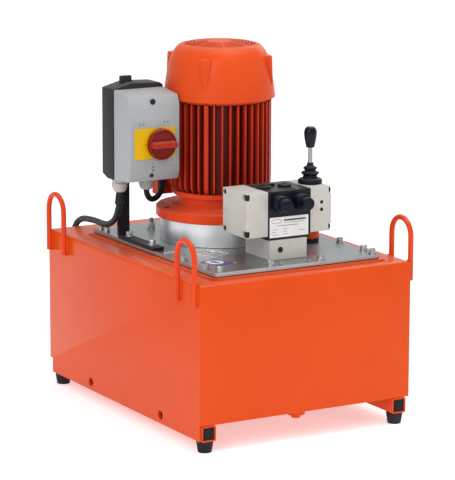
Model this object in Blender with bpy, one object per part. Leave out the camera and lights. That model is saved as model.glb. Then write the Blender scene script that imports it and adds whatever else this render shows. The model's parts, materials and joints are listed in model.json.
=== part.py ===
"""Hydraulic power unit: an upright electric motor and a lever valve on the lid of an oil tank.

Metres, +Z up, the floor at Z = 0, the front towards -Y. Built for Blender 4.5.
"""

import math

import bmesh
import bpy
from mathutils import Matrix, Vector

MM = 0.001
GAP = 0.3 * MM                      # clearance left between pieces that touch

# Tank and its feet
TANK_W, TANK_D, TANK_H = 0.520, 0.704, 0.300
SHEET = 0.004
FOOT_H = 0.025
FOOT_TOP_R, FOOT_BOTTOM_R = 0.018, 0.0145
RAIL = 0.034
RAIL_WALL = 0.003
RAIL_INSET = 0.009                  # the right rail stands in from the tank's side
RAIL_HOLE_R, RAIL_HOLE_Z = 0.0102, 0.0448
RAIL_HOLES_Y = (-0.179, 0.146)
RAIL_REAR = TANK_D / 2 - 0.014
FOOT_FRONT_Y, FOOT_REAR_Y = -0.334, 0.326
TANK_Z = FOOT_H + RAIL
TANK_TOP = TANK_Z + TANK_H

# Lifting bails
BAIL_BAR = 0.0122
BAIL_SPAN = 0.074
BAIL_TOP = 0.0935                   # outer height above the tank's top
BAIL_DROP = 0.045                   # how far the legs run down the tank's side
BAIL_FRONT_Y, BAIL_REAR_Y = -0.302, 0.299

# Cover plate on a low welded rim
PLATE_W = 0.408
PLATE_FRONT, PLATE_REAR = -0.315, 0.241
PLATE_T = 0.008
RIM_H, RIM_OUT, RIM_OUT_REAR = 0.004, 0.009, 0.0035
GASKET_T = 0.002
PLATE_TOP = TANK_TOP + RIM_H + GASKET_T + PLATE_T

FILLER_X, FILLER_Y = 0.140, -0.128
PRESSURE_X, RETURN_X, PIPE_Y = -0.018, 0.028, -0.205

# Motor, on a vertical axis
MOTOR_X, MOTOR_Y = -0.003, 0.018
BELL_R, BELL_H = 0.132, 0.0525
FLANGE_R, FLANGE_T = 0.141, 0.022
NECK_R = 0.094
SHIELD_R = 0.103
FRAME_LOW, FRAME_HIGH = 0.111, 0.309     # above the plate
FIN_TIP_R, FIN_ROOT_R, FRAME_BORE = 0.113, 0.092, 0.083
FIN_SLOTS = 40                      # fin positions round the frame, with a bolt rib at each diagonal
SHAFT_R = 0.019
FLANGE_HOLE_R, FLANGE_HOLE_TURN = 0.0085, 170
COVER_X = -0.0045
COVER_R = 0.1225
COVER_LOW, COVER_TOP = 0.3155, 0.438
COVER_SHELL = 0.0025

# Valve block on the plate
BLOCK_X0, BLOCK_X1 = -0.041, 0.051
VALVE_FRONT, VALVE_REAR = -0.263, -0.161
BLOCK_H = 0.044
VALVE_TOP = 0.149
BODY_X0, BODY_X1 = -0.0453, 0.0593
CAP_W = 0.052
CAP_LOW = 0.053
SPOOL_Z = 0.098
SPOOL_R = 0.010
PORT_X, PORT_Z = (-0.020, 0.032), 0.123
STUB_R = 0.0125
LEVER_X, LEVER_Y = 0.089, -0.212
LEVER_PIVOT_Z = 0.138
POCKET_REACH, POCKET_DEPTH = 0.0185, 0.007

# Switch box on its bent flat-bar bracket
BAR_W, BAR_T = 0.028, 0.008
POST_X = -0.1955
POST_REAR = 0.113
FOOT_END = -0.054
BOX_X0, BOX_X1 = -0.2495, -0.1275
BOX_REAR, BOX_SPLIT, BOX_FRONT = 0.1045, 0.049, -0.025
BOX_LOW, BOX_HIGH = 0.143, 0.341
KNOB_X, KNOB_Z = -0.177, 0.229
GLAND_Y = 0.063
SUPPLY_X, MOTOR_GLAND_X = -0.2285, -0.1625

# Cables
SUPPLY_R = 0.007
MOTOR_CABLE_R = 0.0065
COIL_TURNS_ACROSS, COIL_LAYERS = 4, 2
COIL_MEAN_R = 0.078
COIL_X, COIL_Y = -0.020, TANK_D / 2 + 0.125


def clear_scene():
    for thing in list(bpy.data.objects):
        bpy.data.objects.remove(thing, do_unlink=True)


def material(name, colour, metallic, roughness):
    made = bpy.data.materials.new(name)
    made.use_nodes = True
    shader = made.node_tree.nodes["Principled BSDF"]
    shader.inputs["Base Color"].default_value = (*colour, 1.0)
    shader.inputs["Metallic"].default_value = metallic
    shader.inputs["Roughness"].default_value = roughness
    made.diffuse_color = (*colour, 1.0)
    return made


FINISHES = {
    "orange": ((0.80, 0.085, 0.02), 0.0, 0.35),
    "motor_orange": ((0.70, 0.06, 0.015), 0.0, 0.45),
    "plate": ((0.52, 0.54, 0.56), 0.9, 0.35),
    "aluminium": ((0.60, 0.62, 0.64), 0.9, 0.4),
    "steel": ((0.45, 0.46, 0.48), 1.0, 0.35),
    "valve_grey": ((0.55, 0.53, 0.48), 0.1, 0.5),
    "valve_black": ((0.015, 0.016, 0.02), 0.2, 0.4),
    "black_paint": ((0.012, 0.013, 0.015), 0.0, 0.4),
    "rubber": ((0.015, 0.015, 0.016), 0.0, 0.75),
    "cast_iron": ((0.12, 0.12, 0.13), 0.6, 0.6),
    "copper": ((0.55, 0.22, 0.09), 0.8, 0.4),
    "box_dark": ((0.05, 0.052, 0.055), 0.0, 0.5),
    "box_light": ((0.50, 0.53, 0.53), 0.0, 0.45),
    "gland_grey": ((0.42, 0.42, 0.38), 0.0, 0.5),
    "yellow": ((0.85, 0.55, 0.01), 0.0, 0.4),
    "red": ((0.45, 0.03, 0.02), 0.0, 0.35),
    "chrome": ((0.75, 0.75, 0.76), 1.0, 0.15),
}


def finish(thing, name, smooth_angle=35.0):
    """Give the piece a material of its own and smooth shading up to the angle given."""
    colour, metallic, roughness = FINISHES[name]
    thing.data.materials.append(material(thing.name + "_finish", colour, metallic, roughness))
    if thing.type == "MESH":
        for face in thing.data.polygons:
            face.use_smooth = True
        thing.data.set_sharp_from_angle(angle=math.radians(smooth_angle))
    return thing


def add_object(name, data, origin=(0.0, 0.0, 0.0)):
    thing = bpy.data.objects.new(name, data)
    thing.location = origin
    bpy.context.scene.collection.objects.link(thing)
    return thing


def add_mesh(name, points, faces, origin=(0.0, 0.0, 0.0)):
    """A mesh object from points in world places, with its origin where given."""
    mesh = bpy.data.meshes.new(name)
    shift = Vector(origin)
    mesh.from_pydata([Vector(p) - shift for p in points], [], faces)
    work = bmesh.new()
    work.from_mesh(mesh)
    bmesh.ops.recalc_face_normals(work, faces=work.faces)
    work.to_mesh(mesh)
    work.free()
    return add_object(name, mesh, origin)


def bevelled(thing, width, segments=2, angle=40.0):
    bevel = thing.modifiers.new("edge_round", "BEVEL")
    bevel.width = width
    bevel.segments = segments
    bevel.limit_method = "ANGLE"
    bevel.angle_limit = math.radians(angle)
    return thing


def box(name, low, high, origin=None):
    corners = [(x, y, z) for x in (low[0], high[0]) for y in (low[1], high[1]) for z in (low[2], high[2])]
    faces = [(0, 1, 3, 2), (4, 6, 7, 5), (0, 4, 5, 1), (2, 3, 7, 6), (0, 2, 6, 4), (1, 5, 7, 3)]
    return add_mesh(name, corners, faces, origin or (0.0, 0.0, 0.0))


def arc(centre, radius, start, end, steps):
    """Points round an arc, with angles in degrees."""
    angles = [math.radians(start + (end - start) * i / steps) for i in range(steps + 1)]
    return [(centre[0] + radius * math.cos(a), centre[1] + radius * math.sin(a)) for a in angles]


def rounded_rectangle(x0, x1, y0, y1, radius, steps=3):
    return (arc((x1 - radius, y0 + radius), radius, -90, 0, steps)
            + arc((x1 - radius, y1 - radius), radius, 0, 90, steps)
            + arc((x0 + radius, y1 - radius), radius, 90, 180, steps)
            + arc((x0 + radius, y0 + radius), radius, 180, 270, steps))


def prism(name, outline, start, end, axis="z", holes=(), origin=(0.0, 0.0, 0.0)):
    """Extrude an outline along an axis; an outline for axis x is (y, z) and for axis y is (x, z)."""
    place = {"x": lambda p, d: (d, p[0], p[1]), "y": lambda p, d: (p[0], d, p[1]),
             "z": lambda p, d: (p[0], p[1], d)}[axis]
    shift = Vector(origin)
    mesh = bpy.data.meshes.new(name)
    work = bmesh.new()
    edges = []
    for loop in (outline, *holes):
        ring = [work.verts.new(Vector(place(p, start)) - shift) for p in loop]
        edges += [work.edges.new((ring[i], ring[i - 1])) for i in range(len(ring))]
    if holes:
        cap = bmesh.ops.triangle_fill(work, edges=edges, use_beauty=True, use_dissolve=False)
        faces = [item for item in cap["geom"] if isinstance(item, bmesh.types.BMFace)]
    else:
        faces = [work.faces.new(list(work.verts))]
    grown = bmesh.ops.extrude_face_region(work, geom=faces)
    moved = [item for item in grown["geom"] if isinstance(item, bmesh.types.BMVert)]
    bmesh.ops.translate(work, verts=moved, vec=Vector(place((0.0, 0.0), end - start)))
    bmesh.ops.recalc_face_normals(work, faces=work.faces)
    work.to_mesh(mesh)
    work.free()
    return add_object(name, mesh, origin)


def turned(name, profile, centre, steps=32, axis="z", ring=False, origin=None):
    """Turn a profile of (radius, distance) about an axis; ring closes the profile on itself."""
    frame = {"z": (Vector((1, 0, 0)), Vector((0, 1, 0)), Vector((0, 0, 1))),
             "x": (Vector((0, 1, 0)), Vector((0, 0, 1)), Vector((1, 0, 0))),
             "y": (Vector((0, 0, 1)), Vector((1, 0, 0)), Vector((0, 1, 0)))}[axis]
    middle = Vector(centre)
    points, rows = [], []
    for radius, distance in profile:
        base = middle + frame[2] * distance
        if radius < 1e-9:
            rows.append([len(points)] * steps)
            points.append(base)
            continue
        rows.append(list(range(len(points), len(points) + steps)))
        for i in range(steps):
            turn = 2 * math.pi * (i + 0.5) / steps
            points.append(base + frame[0] * radius * math.cos(turn) + frame[1] * radius * math.sin(turn))
    faces = []
    count = len(rows)
    for k in range(count if ring else count - 1):
        low, high = rows[k], rows[(k + 1) % count]
        for i in range(steps):
            j = (i + 1) % steps
            face = []
            for corner in (low[i], low[j], high[j], high[i]):
                if corner not in face:
                    face.append(corner)
            if len(face) > 2:
                faces.append(face)
    return add_mesh(name, points, faces, origin or centre)


def rod(name, points, radius, resolution=2, origin=(0.0, 0.0, 0.0)):
    """A round bar or cable along a list of points."""
    curve = bpy.data.curves.new(name, "CURVE")
    curve.dimensions = "3D"
    curve.bevel_depth = radius
    curve.bevel_resolution = resolution
    curve.use_fill_caps = True
    line = curve.splines.new("POLY")
    line.points.add(len(points) - 1)
    shift = Vector(origin)
    for slot, point in zip(line.points, points):
        slot.co = (*(Vector(point) - shift), 1.0)
    line.use_smooth = True
    return add_object(name, curve, origin)


def smooth_route(stops, step):
    """Read evenly spaced points from one smooth curve through the stops (a Catmull-Rom curve)."""
    stops = [Vector(s) for s in stops]
    padded = [stops[0] * 2 - stops[1], *stops, stops[-1] * 2 - stops[-2]]
    fine = []
    for a, b, c, d in zip(padded, padded[1:], padded[2:], padded[3:]):
        for i in range(24):
            t = i / 24
            fine.append(0.5 * (2 * b + (c - a) * t + (2 * a - 5 * b + 4 * c - d) * t * t
                               + (3 * b - a - 3 * c + d) * t ** 3))
    fine.append(stops[-1])
    total = sum((q - p).length for p, q in zip(fine, fine[1:]))
    count = max(2, round(total / step))
    points, walked, target = [fine[0]], 0.0, total / count
    for p, q in zip(fine, fine[1:]):
        length = (q - p).length
        while walked + length >= target and len(points) < count:
            points.append(p.lerp(q, (target - walked) / length))
            target += total / count
        walked += length
    points.append(fine[-1])
    return points


def cut(thing, cutters, operation="DIFFERENCE"):
    """Take each cutter's shape out of the piece, or join it on, and keep the cutters as guides."""
    for cutter in cutters:
        change = thing.modifiers.new("cut", "BOOLEAN")
        change.operation = operation
        change.solver = "EXACT"
        change.object = cutter
        cutter.hide_render = True
        cutter.display_type = "WIRE"
    return thing


def plate_z(height):
    """World height of a point that many metres above the cover plate."""
    return PLATE_TOP + height


# ---- tank ---------------------------------------------------------------------------------------

def tank():
    half_w, half_d = TANK_W / 2, TANK_D / 2
    shell = box("tank_shell", (-half_w, -half_d, TANK_Z), (half_w, half_d, TANK_TOP))
    edges = shell.data.attributes.new("bevel_weight_edge", "FLOAT", "EDGE")
    for edge in shell.data.edges:
        ends = [shell.data.vertices[i].co for i in edge.vertices]
        top = all(p.z > TANK_TOP - 1 * MM for p in ends)
        upright = abs(ends[0].z - ends[1].z) > 1 * MM
        left_foot = all(p.x < 0 and p.z < TANK_Z + 1 * MM for p in ends)
        edges.data[edge.index].value = 1.0 if top else 0.35 if upright else 0.0 if left_foot else 0.25
    bend = shell.modifiers.new("bend", "BEVEL")
    bend.limit_method = "WEIGHT"
    bend.width = 0.009
    bend.segments = 4
    rim = prism("rim_guide", rounded_rectangle(-PLATE_W / 2 - RIM_OUT, PLATE_W / 2 + RIM_OUT,
                                               PLATE_FRONT - RIM_OUT, PLATE_REAR + RIM_OUT_REAR, 0.016),
                TANK_TOP - SHEET / 2, TANK_TOP + RIM_H)
    skirt = box("skirt_guide", (-half_w, -half_d + 0.0032, FOOT_H + 1.5 * MM),
                (-half_w + SHEET, RAIL_REAR, TANK_Z + 1 * MM))
    inside = box("inside_guide", (-half_w + SHEET, -half_d + SHEET, TANK_Z + SHEET),
                 (half_w - SHEET, half_d - SHEET, TANK_TOP - SHEET))
    mouth = box("mouth_guide", (-PLATE_W / 2 + 0.022, PLATE_FRONT + 0.022, TANK_TOP - 0.02),
                (PLATE_W / 2 - 0.022, PLATE_REAR - 0.022, TANK_TOP + 0.02))
    cut(shell, [rim, skirt], "UNION")
    cut(shell, [inside, mouth, *rail_drills("skirt", -half_w)])
    finish(shell, "orange")


def rail_drills(name, x):
    """Two round cutters through a wall that faces left."""
    return [turned(f"{name}_hole_guide_{i}", [(0, -0.008), (RAIL_HOLE_R, -0.008), (RAIL_HOLE_R, 0.008),
                                              (0, 0.008)], (x, y, RAIL_HOLE_Z), 20, "x")
            for i, y in enumerate(RAIL_HOLES_Y)]


def rails_and_feet():
    for side, name, outer in ((-1, "left", -TANK_W / 2 + SHEET + GAP), (1, "right", TANK_W / 2 - RAIL_INSET)):
        x0, x1 = sorted((outer, outer - side * RAIL))
        z0, z1 = FOOT_H, TANK_Z - GAP
        wall = RAIL_WALL
        rail = prism(f"rail_{name}", rounded_rectangle(x0, x1, z0, z1, 0.003, 2), -TANK_D / 2,
                     RAIL_REAR, "y",
                     holes=[rounded_rectangle(x0 + wall, x1 - wall, z0 + wall, z1 - wall, 0.001, 1)])
        if side < 0:
            cut(rail, rail_drills("rail", x0))
        finish(rail, "orange")
        for end, y in (("front", FOOT_FRONT_Y), ("rear", FOOT_REAR_Y)):
            foot = turned(f"foot_{end}_{name}", [(0, 0), (FOOT_BOTTOM_R, 0), (FOOT_TOP_R, FOOT_H - 4 * MM),
                                                 (FOOT_TOP_R, FOOT_H - GAP), (0, FOOT_H - GAP)],
                          (outer - side * RAIL / 2, y, 0.0), 20)
            finish(foot, "rubber")


def bails():
    radius = BAIL_SPAN / 2
    crown = TANK_TOP + BAIL_TOP - BAIL_BAR / 2 - radius
    low = TANK_TOP - BAIL_DROP
    for side, name in ((-1, "left"), (1, "right")):
        x = side * (TANK_W / 2 + BAIL_BAR / 2 + GAP)
        for end, y in (("front", BAIL_FRONT_Y), ("rear", BAIL_REAR_Y)):
            bend = arc((y, crown), radius, 0, 180, 12)
            points = [(x, y + radius, low)] + [(x, p[0], p[1]) for p in bend] + [(x, y - radius, low)]
            finish(rod(f"lifting_bail_{end}_{name}", points, BAIL_BAR / 2, 2), "orange")


def drain():
    x, y = -0.012, -TANK_D / 2 + 0.026
    flats = arc((0.0, 0.0), 0.011, 0, 300, 5)
    head = prism("drain_head_guide", [(x + p[0], y + p[1]) for p in flats], TANK_Z - 0.016, TANK_Z - 0.008)
    boss = turned("drain_plug", [(0, -0.0095), (0.0185, -0.0095), (0.020, -0.008), (0.020, -GAP),
                                 (0, -GAP)], (x, y, TANK_Z), 20)
    cut(boss, [head], "UNION")
    finish(boss, "orange")


# ---- cover plate --------------------------------------------------------------------------------

def circle(x, y, radius, steps):
    return arc((x, y), radius, 0, 360 * (steps - 1) / steps, steps - 1)


def cover():
    x0, x1 = -PLATE_W / 2, PLATE_W / 2
    low = TANK_TOP + RIM_H + GAP
    gasket = prism("plate_gasket", rounded_rectangle(x0 + 1 * MM, x1 - 1 * MM, PLATE_FRONT + 1 * MM,
                                                     PLATE_REAR - 1 * MM, 0.004),
                   low, PLATE_TOP - PLATE_T - GAP,
                   holes=[rounded_rectangle(x0 + 0.024, x1 - 0.024, PLATE_FRONT + 0.024,
                                            PLATE_REAR - 0.024, 0.004)])
    finish(gasket, "rubber")
    holes = [circle(MOTOR_X, MOTOR_Y, 0.0635, 28), circle(FILLER_X, FILLER_Y, 0.0155, 12),
             circle(PRESSURE_X, PIPE_Y, 0.009, 12), circle(RETURN_X, PIPE_Y, 0.0125, 12)]
    plate = prism("cover_plate", rounded_rectangle(x0, x1, PLATE_FRONT, PLATE_REAR, 0.006),
                  PLATE_TOP - PLATE_T, PLATE_TOP, holes=holes)
    finish(plate, "plate")


def filler():
    centre = (FILLER_X, FILLER_Y, PLATE_TOP)
    neck = turned("filler_neck", [(0.0115, -0.060), (0.0125, -0.060), (0.0125, GAP), (0.0215, GAP),
                                  (0.0215, 0.010), (0.0145, 0.010), (0.0145, 0.022), (0.0115, 0.022)],
                  centre, 16, ring=True)
    finish(neck, "valve_black")
    cap = turned("filler_cap", [(0, 0.026), (0.0152, 0.026), (0.0152, 0.0105), (0.0205, 0.0105),
                                (0.0212, 0.013), (0.0212, 0.046), (0.0185, 0.052), (0, 0.0535)], centre,
                 24)
    finish(cap, "orange")


# ---- motor --------------------------------------------------------------------------------------

def motor_point(height=0.0):
    return (MOTOR_X, MOTOR_Y, plate_z(height))


def bell_and_flange():
    bell = turned("bell_housing", [(0.066, GAP), (BELL_R - 1 * MM, GAP), (BELL_R, 1.3 * MM),
                                   (BELL_R, BELL_H - 1.3 * MM), (BELL_R - 1 * MM, BELL_H - GAP),
                                   (0.066, BELL_H - GAP)], motor_point(), 44, ring=True)
    finish(bell, "aluminium")
    top = BELL_H + FLANGE_T
    bolts = [turned(f"flange_hole_guide_{i}",
                    [(0, BELL_H - 0.01), (FLANGE_HOLE_R, BELL_H - 0.01), (FLANGE_HOLE_R, top + 0.02),
                     (0, top + 0.02)],
                    (MOTOR_X + 0.1235 * math.cos(a), MOTOR_Y + 0.1235 * math.sin(a), PLATE_TOP), 14)
             for i, a in enumerate(math.radians(FLANGE_HOLE_TURN + 90 * k) for k in range(4))]
    flange = turned("motor_flange", [(0.040, BELL_H), (FLANGE_R - 1.5 * MM, BELL_H),
                                     (FLANGE_R, BELL_H + 1.5 * MM), (FLANGE_R, top - 2 * MM),
                                     (FLANGE_R - 2 * MM, top), (0.110, top), (0.108, top + 3 * MM),
                                     (NECK_R + 5 * MM, top + 4 * MM), (NECK_R, top + 8 * MM),
                                     (NECK_R, 0.098), (SHIELD_R, 0.101), (SHIELD_R, FRAME_LOW - GAP),
                                     (0.036, FRAME_LOW - GAP), (0.036, 0.080), (0.040, 0.078)],
                    motor_point(), 44, ring=True)
    cut(flange, bolts)
    finish(flange, "motor_orange")


def fin_outline(tip):
    """The frame's outline: fins between roots, with a broad bolt rib at each diagonal."""
    pitch = 360.0 / FIN_SLOTS
    points = []
    for slot in range(FIN_SLOTS):
        middle = 45.0 + slot * pitch
        rib = slot % 10 == 0
        root_half = 2.9 if rib else 1.35
        tip_half = 2.3 if rib else 0.85
        reach = tip + (0.0005 if rib else 0.0)
        for radius, offset in ((FIN_ROOT_R, -root_half), (reach, -tip_half), (reach, tip_half),
                               (FIN_ROOT_R, root_half)):
            angle = math.radians(middle + offset)
            points.append((MOTOR_X + radius * math.cos(angle), MOTOR_Y + radius * math.sin(angle)))
    return points


def motor_frame():
    sections = [(FRAME_LOW, FIN_TIP_R - 0.010), (FRAME_LOW + 0.010, FIN_TIP_R - 0.0015),
                (FRAME_LOW + 0.020, FIN_TIP_R),
                (FRAME_HIGH, FIN_TIP_R)]
    points, faces = [], []
    count = FIN_SLOTS * 4
    for height, tip in sections:
        points += [(x, y, plate_z(height)) for x, y in fin_outline(tip)]
    outer_rows = len(sections)
    for height in (FRAME_LOW, FRAME_HIGH):
        for x, y in fin_outline(FIN_TIP_R):
            away = Vector((x - MOTOR_X, y - MOTOR_Y)).normalized() * FRAME_BORE
            points.append((MOTOR_X + away.x, MOTOR_Y + away.y, plate_z(height)))
    inner_low, inner_high = outer_rows * count, (outer_rows + 1) * count
    for i in range(count):
        j = (i + 1) % count
        for row in range(outer_rows - 1):
            a, b = row * count, (row + 1) * count
            faces.append((a + i, a + j, b + j, b + i))
        faces.append((inner_low + i, inner_low + j, j, i))
        last = (outer_rows - 1) * count
        faces.append((inner_high + i, inner_high + j, last + j, last + i))
        faces.append((inner_low + i, inner_low + j, inner_high + j, inner_high + i))
    finish(add_mesh("motor_frame", points, faces, motor_point()), "motor_orange", 25)


def foot_pad():
    """A ribbed pad for a mounting foot, cast low on the frame at the left and rear."""
    outer_x, inner_x, front, rear = -0.1115, -0.0765, 0.1045, 0.1300
    teeth, depth = 6, 0.005
    pitch = (inner_x - outer_x - 0.004) / teeth
    outline = [(inner_x, front)]
    for k in range(teeth):
        x = inner_x - 0.002 - k * pitch
        outline += [(x - pitch * 0.15, front), (x - pitch * 0.3, front + depth),
                    (x - pitch * 0.7, front + depth), (x - pitch * 0.85, front)]
    outline += [(outer_x, front), (outer_x, rear), (-0.0599, rear)]
    outline += arc((MOTOR_X, MOTOR_Y), FIN_TIP_R + 0.8 * MM, 120, 130, 2)
    pad = prism("motor_foot_pad", outline, plate_z(0.0905), plate_z(0.1255))
    finish(pad, "motor_orange")


def motor_inside():
    stator = turned("stator", [(0.0525, 0.146), (0.060, 0.130), (0.078, 0.130), (0.079, 0.146),
                               (FRAME_BORE - GAP, 0.147), (FRAME_BORE - GAP, 0.268), (0.079, 0.269),
                               (0.078, 0.286), (0.060, 0.286), (0.0525, 0.270)], motor_point(), 20,
                    ring=True)
    finish(stator, "copper")
    rotor = turned("rotor_core", [(SHAFT_R + 2.3 * MM, 0.147), (0.0518, 0.147), (0.0518, 0.269),
                                  (SHAFT_R + 2.3 * MM, 0.269)], motor_point(), 20, ring=True)
    finish(rotor, "steel")
    shaft = turned("motor_shaft", [(0, -0.027), (0.018, -0.027), (SHAFT_R, -0.026), (SHAFT_R, 0.078),
                                   (0.0197, 0.079), (0.0197, 0.118), (SHAFT_R + 2 * MM, 0.119),
                                   (SHAFT_R + 2 * MM, 0.294), (0.0147, 0.295), (0.0147, 0.357),
                                   (0.0137, 0.358), (0, 0.358)], motor_point(), 20)
    finish(shaft, "steel")
    for name, bore, outer, low, high in (("drive_end_bearing", 0.020, 0.0357, 0.084, 0.107),
                                         ("fan_end_bearing", 0.015, 0.031, 0.296, 0.3095)):
        ring = turned(name, [(bore, low), (outer, low), (outer, high), (bore, high)], motor_point(), 20,
                      ring=True)
        finish(ring, "steel")
    rear = turned("rear_end_shield", [(0.0200, 0.3105), (0.0200, 0.3145), (0.100, 0.3145), (0.108, 0.3135),
                                      (0.108, FRAME_HIGH + GAP), (0.0815, FRAME_HIGH + GAP),
                                      (0.0815, 0.3045), (0.040, 0.3035), (0.038, 0.2945), (0.0313, 0.2945),
                                      (0.0313, 0.3105)], motor_point(), 28, ring=True)
    finish(rear, "motor_orange")


def fan():
    blades, inner, outer = 8, 0.024, 0.088
    outline = []
    for k in range(blades):
        middle = 360.0 * k / blades
        for radius, offset in ((inner, -4.0), (outer, -1.2), (outer, 1.2), (inner, 4.0)):
            a = math.radians(middle + offset)
            outline.append((MOTOR_X + radius * math.cos(a), MOTOR_Y + radius * math.sin(a)))
    disc = turned("cooling_fan", [(0.0150, 0.323), (0.094, 0.323), (0.094, 0.326), (0.024, 0.3265),
                                  (0.023, 0.350), (0.0150, 0.350)], motor_point(), 20, ring=True)
    star = prism("blade_guide", outline, plate_z(0.3245), plate_z(0.352),
                 holes=[circle(MOTOR_X, MOTOR_Y, 0.0195, 16)])
    cut(disc, [star], "UNION")
    finish(disc, "black_paint")


def cover_point(height):
    return (COVER_X, MOTOR_Y, plate_z(height))


def fan_cover():
    """A sheet cover with a ringed grille in its top, thickened inwards, and a boss at each diagonal."""
    steps = 40
    rim_r, rim_z = 0.085, 0.4305
    profile = [(COVER_R, COVER_LOW), (0.1203, 0.3350), (0.1160, 0.3640), (0.1108, 0.3910),
               (0.1048, 0.4085), (0.0978, 0.4200), (rim_r, rim_z)]
    grille = [0.076, 0.070, 0.055, 0.049, 0.034, 0.028]
    profile += [(r, rim_z + (COVER_TOP - rim_z) * (1 - (r / rim_r) ** 2)) for r in grille]
    open_bands = {(0.076, 0.070), (0.055, 0.049), (0.034, 0.028)}
    points, faces = [], []
    for radius, height in profile:
        for i in range(steps):
            a = 2 * math.pi * i / steps
            points.append((COVER_X + radius * math.cos(a), MOTOR_Y + radius * math.sin(a), plate_z(height)))
    points.append(cover_point(COVER_TOP))
    for k in range(len(profile) - 1):
        band = (profile[k][0], profile[k + 1][0])
        for i in range(steps):
            if band in open_bands and i % 10 not in (4, 5):
                continue
            j = (i + 1) % steps
            faces.append((k * steps + i, k * steps + j, (k + 1) * steps + j, (k + 1) * steps + i))
    last = (len(profile) - 1) * steps
    for i in range(steps):
        faces.append((last + i, last + (i + 1) % steps, len(points) - 1))
    cover = add_mesh("fan_cover", points, faces, cover_point(0.0))
    for face in cover.data.polygons:
        outward = Vector((face.center.x, face.center.y, 0.02))
        if face.normal.dot(outward) < 0:
            face.flip()
    thick = cover.modifiers.new("sheet", "SOLIDIFY")
    thick.thickness = COVER_SHELL
    thick.offset = -1.0
    cut(cover, [cover_boss(k) for k in range(4)], "UNION")
    finish(cover, "motor_orange", 30)


def cover_boss(k):
    """A wedge that stands proud of the cover's shoulder and fades out towards the skirt."""
    angle = math.radians(45 + 90 * k)
    out = Vector((math.cos(angle), math.sin(angle), 0.0))
    across = Vector((-math.sin(angle), math.cos(angle), 0.0))
    centre = Vector(cover_point(0.0))
    up = Vector((0, 0, 1))
    half_top, half_low = 0.0110, 0.0050
    rows = [(0.4080, 0.1200, 0.1010, half_top), (0.3950, 0.1202, 0.1070, half_top),
            (0.3430, 0.1212, 0.1180, half_low)]
    points = []
    for height, outer, inner, half in rows:
        for reach, side in ((outer, -1), (outer, 1), (inner, 1), (inner, -1)):
            points.append(centre + out * reach + across * side * half + up * height)
    faces = [(0, 1, 2, 3), (11, 10, 9, 8)]
    for row in (0, 4):
        for i in range(4):
            j = (i + 1) % 4
            faces.append((row + i, row + j, row + 4 + j, row + 4 + i))
    return add_mesh(f"boss_guide_{k}", points, faces)


def terminal_box():
    x0, x1 = MOTOR_X - 0.052, MOTOR_X + 0.052
    front = MOTOR_Y + FIN_TIP_R + 0.0012
    base = box("terminal_box", (x0, front, plate_z(0.140)), (x1, front + 0.042, plate_z(0.244)))
    hollow = box("terminal_hollow_guide", (x0 + 0.004, front + 0.006, plate_z(0.144)),
                 (x1 - 0.004, front + 0.060, plate_z(0.240)))
    entry = turned("terminal_entry_guide", [(0, -0.02), (0.0082, -0.02), (0.0082, 0.02), (0, 0.02)],
                   (x0, front + 0.023, plate_z(0.188)), 16, "x")
    finish(cut(bevelled(base, 0.003), [hollow, entry]), "motor_orange")
    lid = box("terminal_box_lid", (x0 - 0.001, front + 0.042 + GAP, plate_z(0.139)),
              (x1 + 0.001, front + 0.054, plate_z(0.245)))
    finish(bevelled(lid, 0.003), "motor_orange")
    gland = turned("terminal_gland", [(0.0070, -0.024), (0.0110, -0.024), (0.0128, -0.018),
                                      (0.0128, -0.010), (0.0140, -0.009), (0.0140, -GAP), (0.0078, -GAP),
                                      (0.0078, 0.010), (0.0070, 0.010)],
                   (x0, front + 0.023, plate_z(0.188)), 14, "x", ring=True)
    finish(gland, "gland_grey")


# ---- coupling and pump --------------------------------------------------------------------------

def claw_half(name, low, high, claw_low, claw_high, bore, turn):
    """A coupling hub with three claws on one face."""
    hub = turned(name, [(bore, low), (0.039, low), (0.039, high), (bore, high)], motor_point(), 20,
                 ring=True)
    claws = []
    for k in range(3):
        middle = turn + 120 * k
        inner = arc((MOTOR_X, MOTOR_Y), 0.0225, middle - 25, middle + 25, 4)
        outer = arc((MOTOR_X, MOTOR_Y), 0.0385, middle + 25, middle - 25, 5)
        claws.append(prism(f"{name}_claw_guide_{k}", inner + outer, plate_z(claw_low), plate_z(claw_high)))
    cut(hub, claws, "UNION")
    return finish(hub, "cast_iron")


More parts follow.
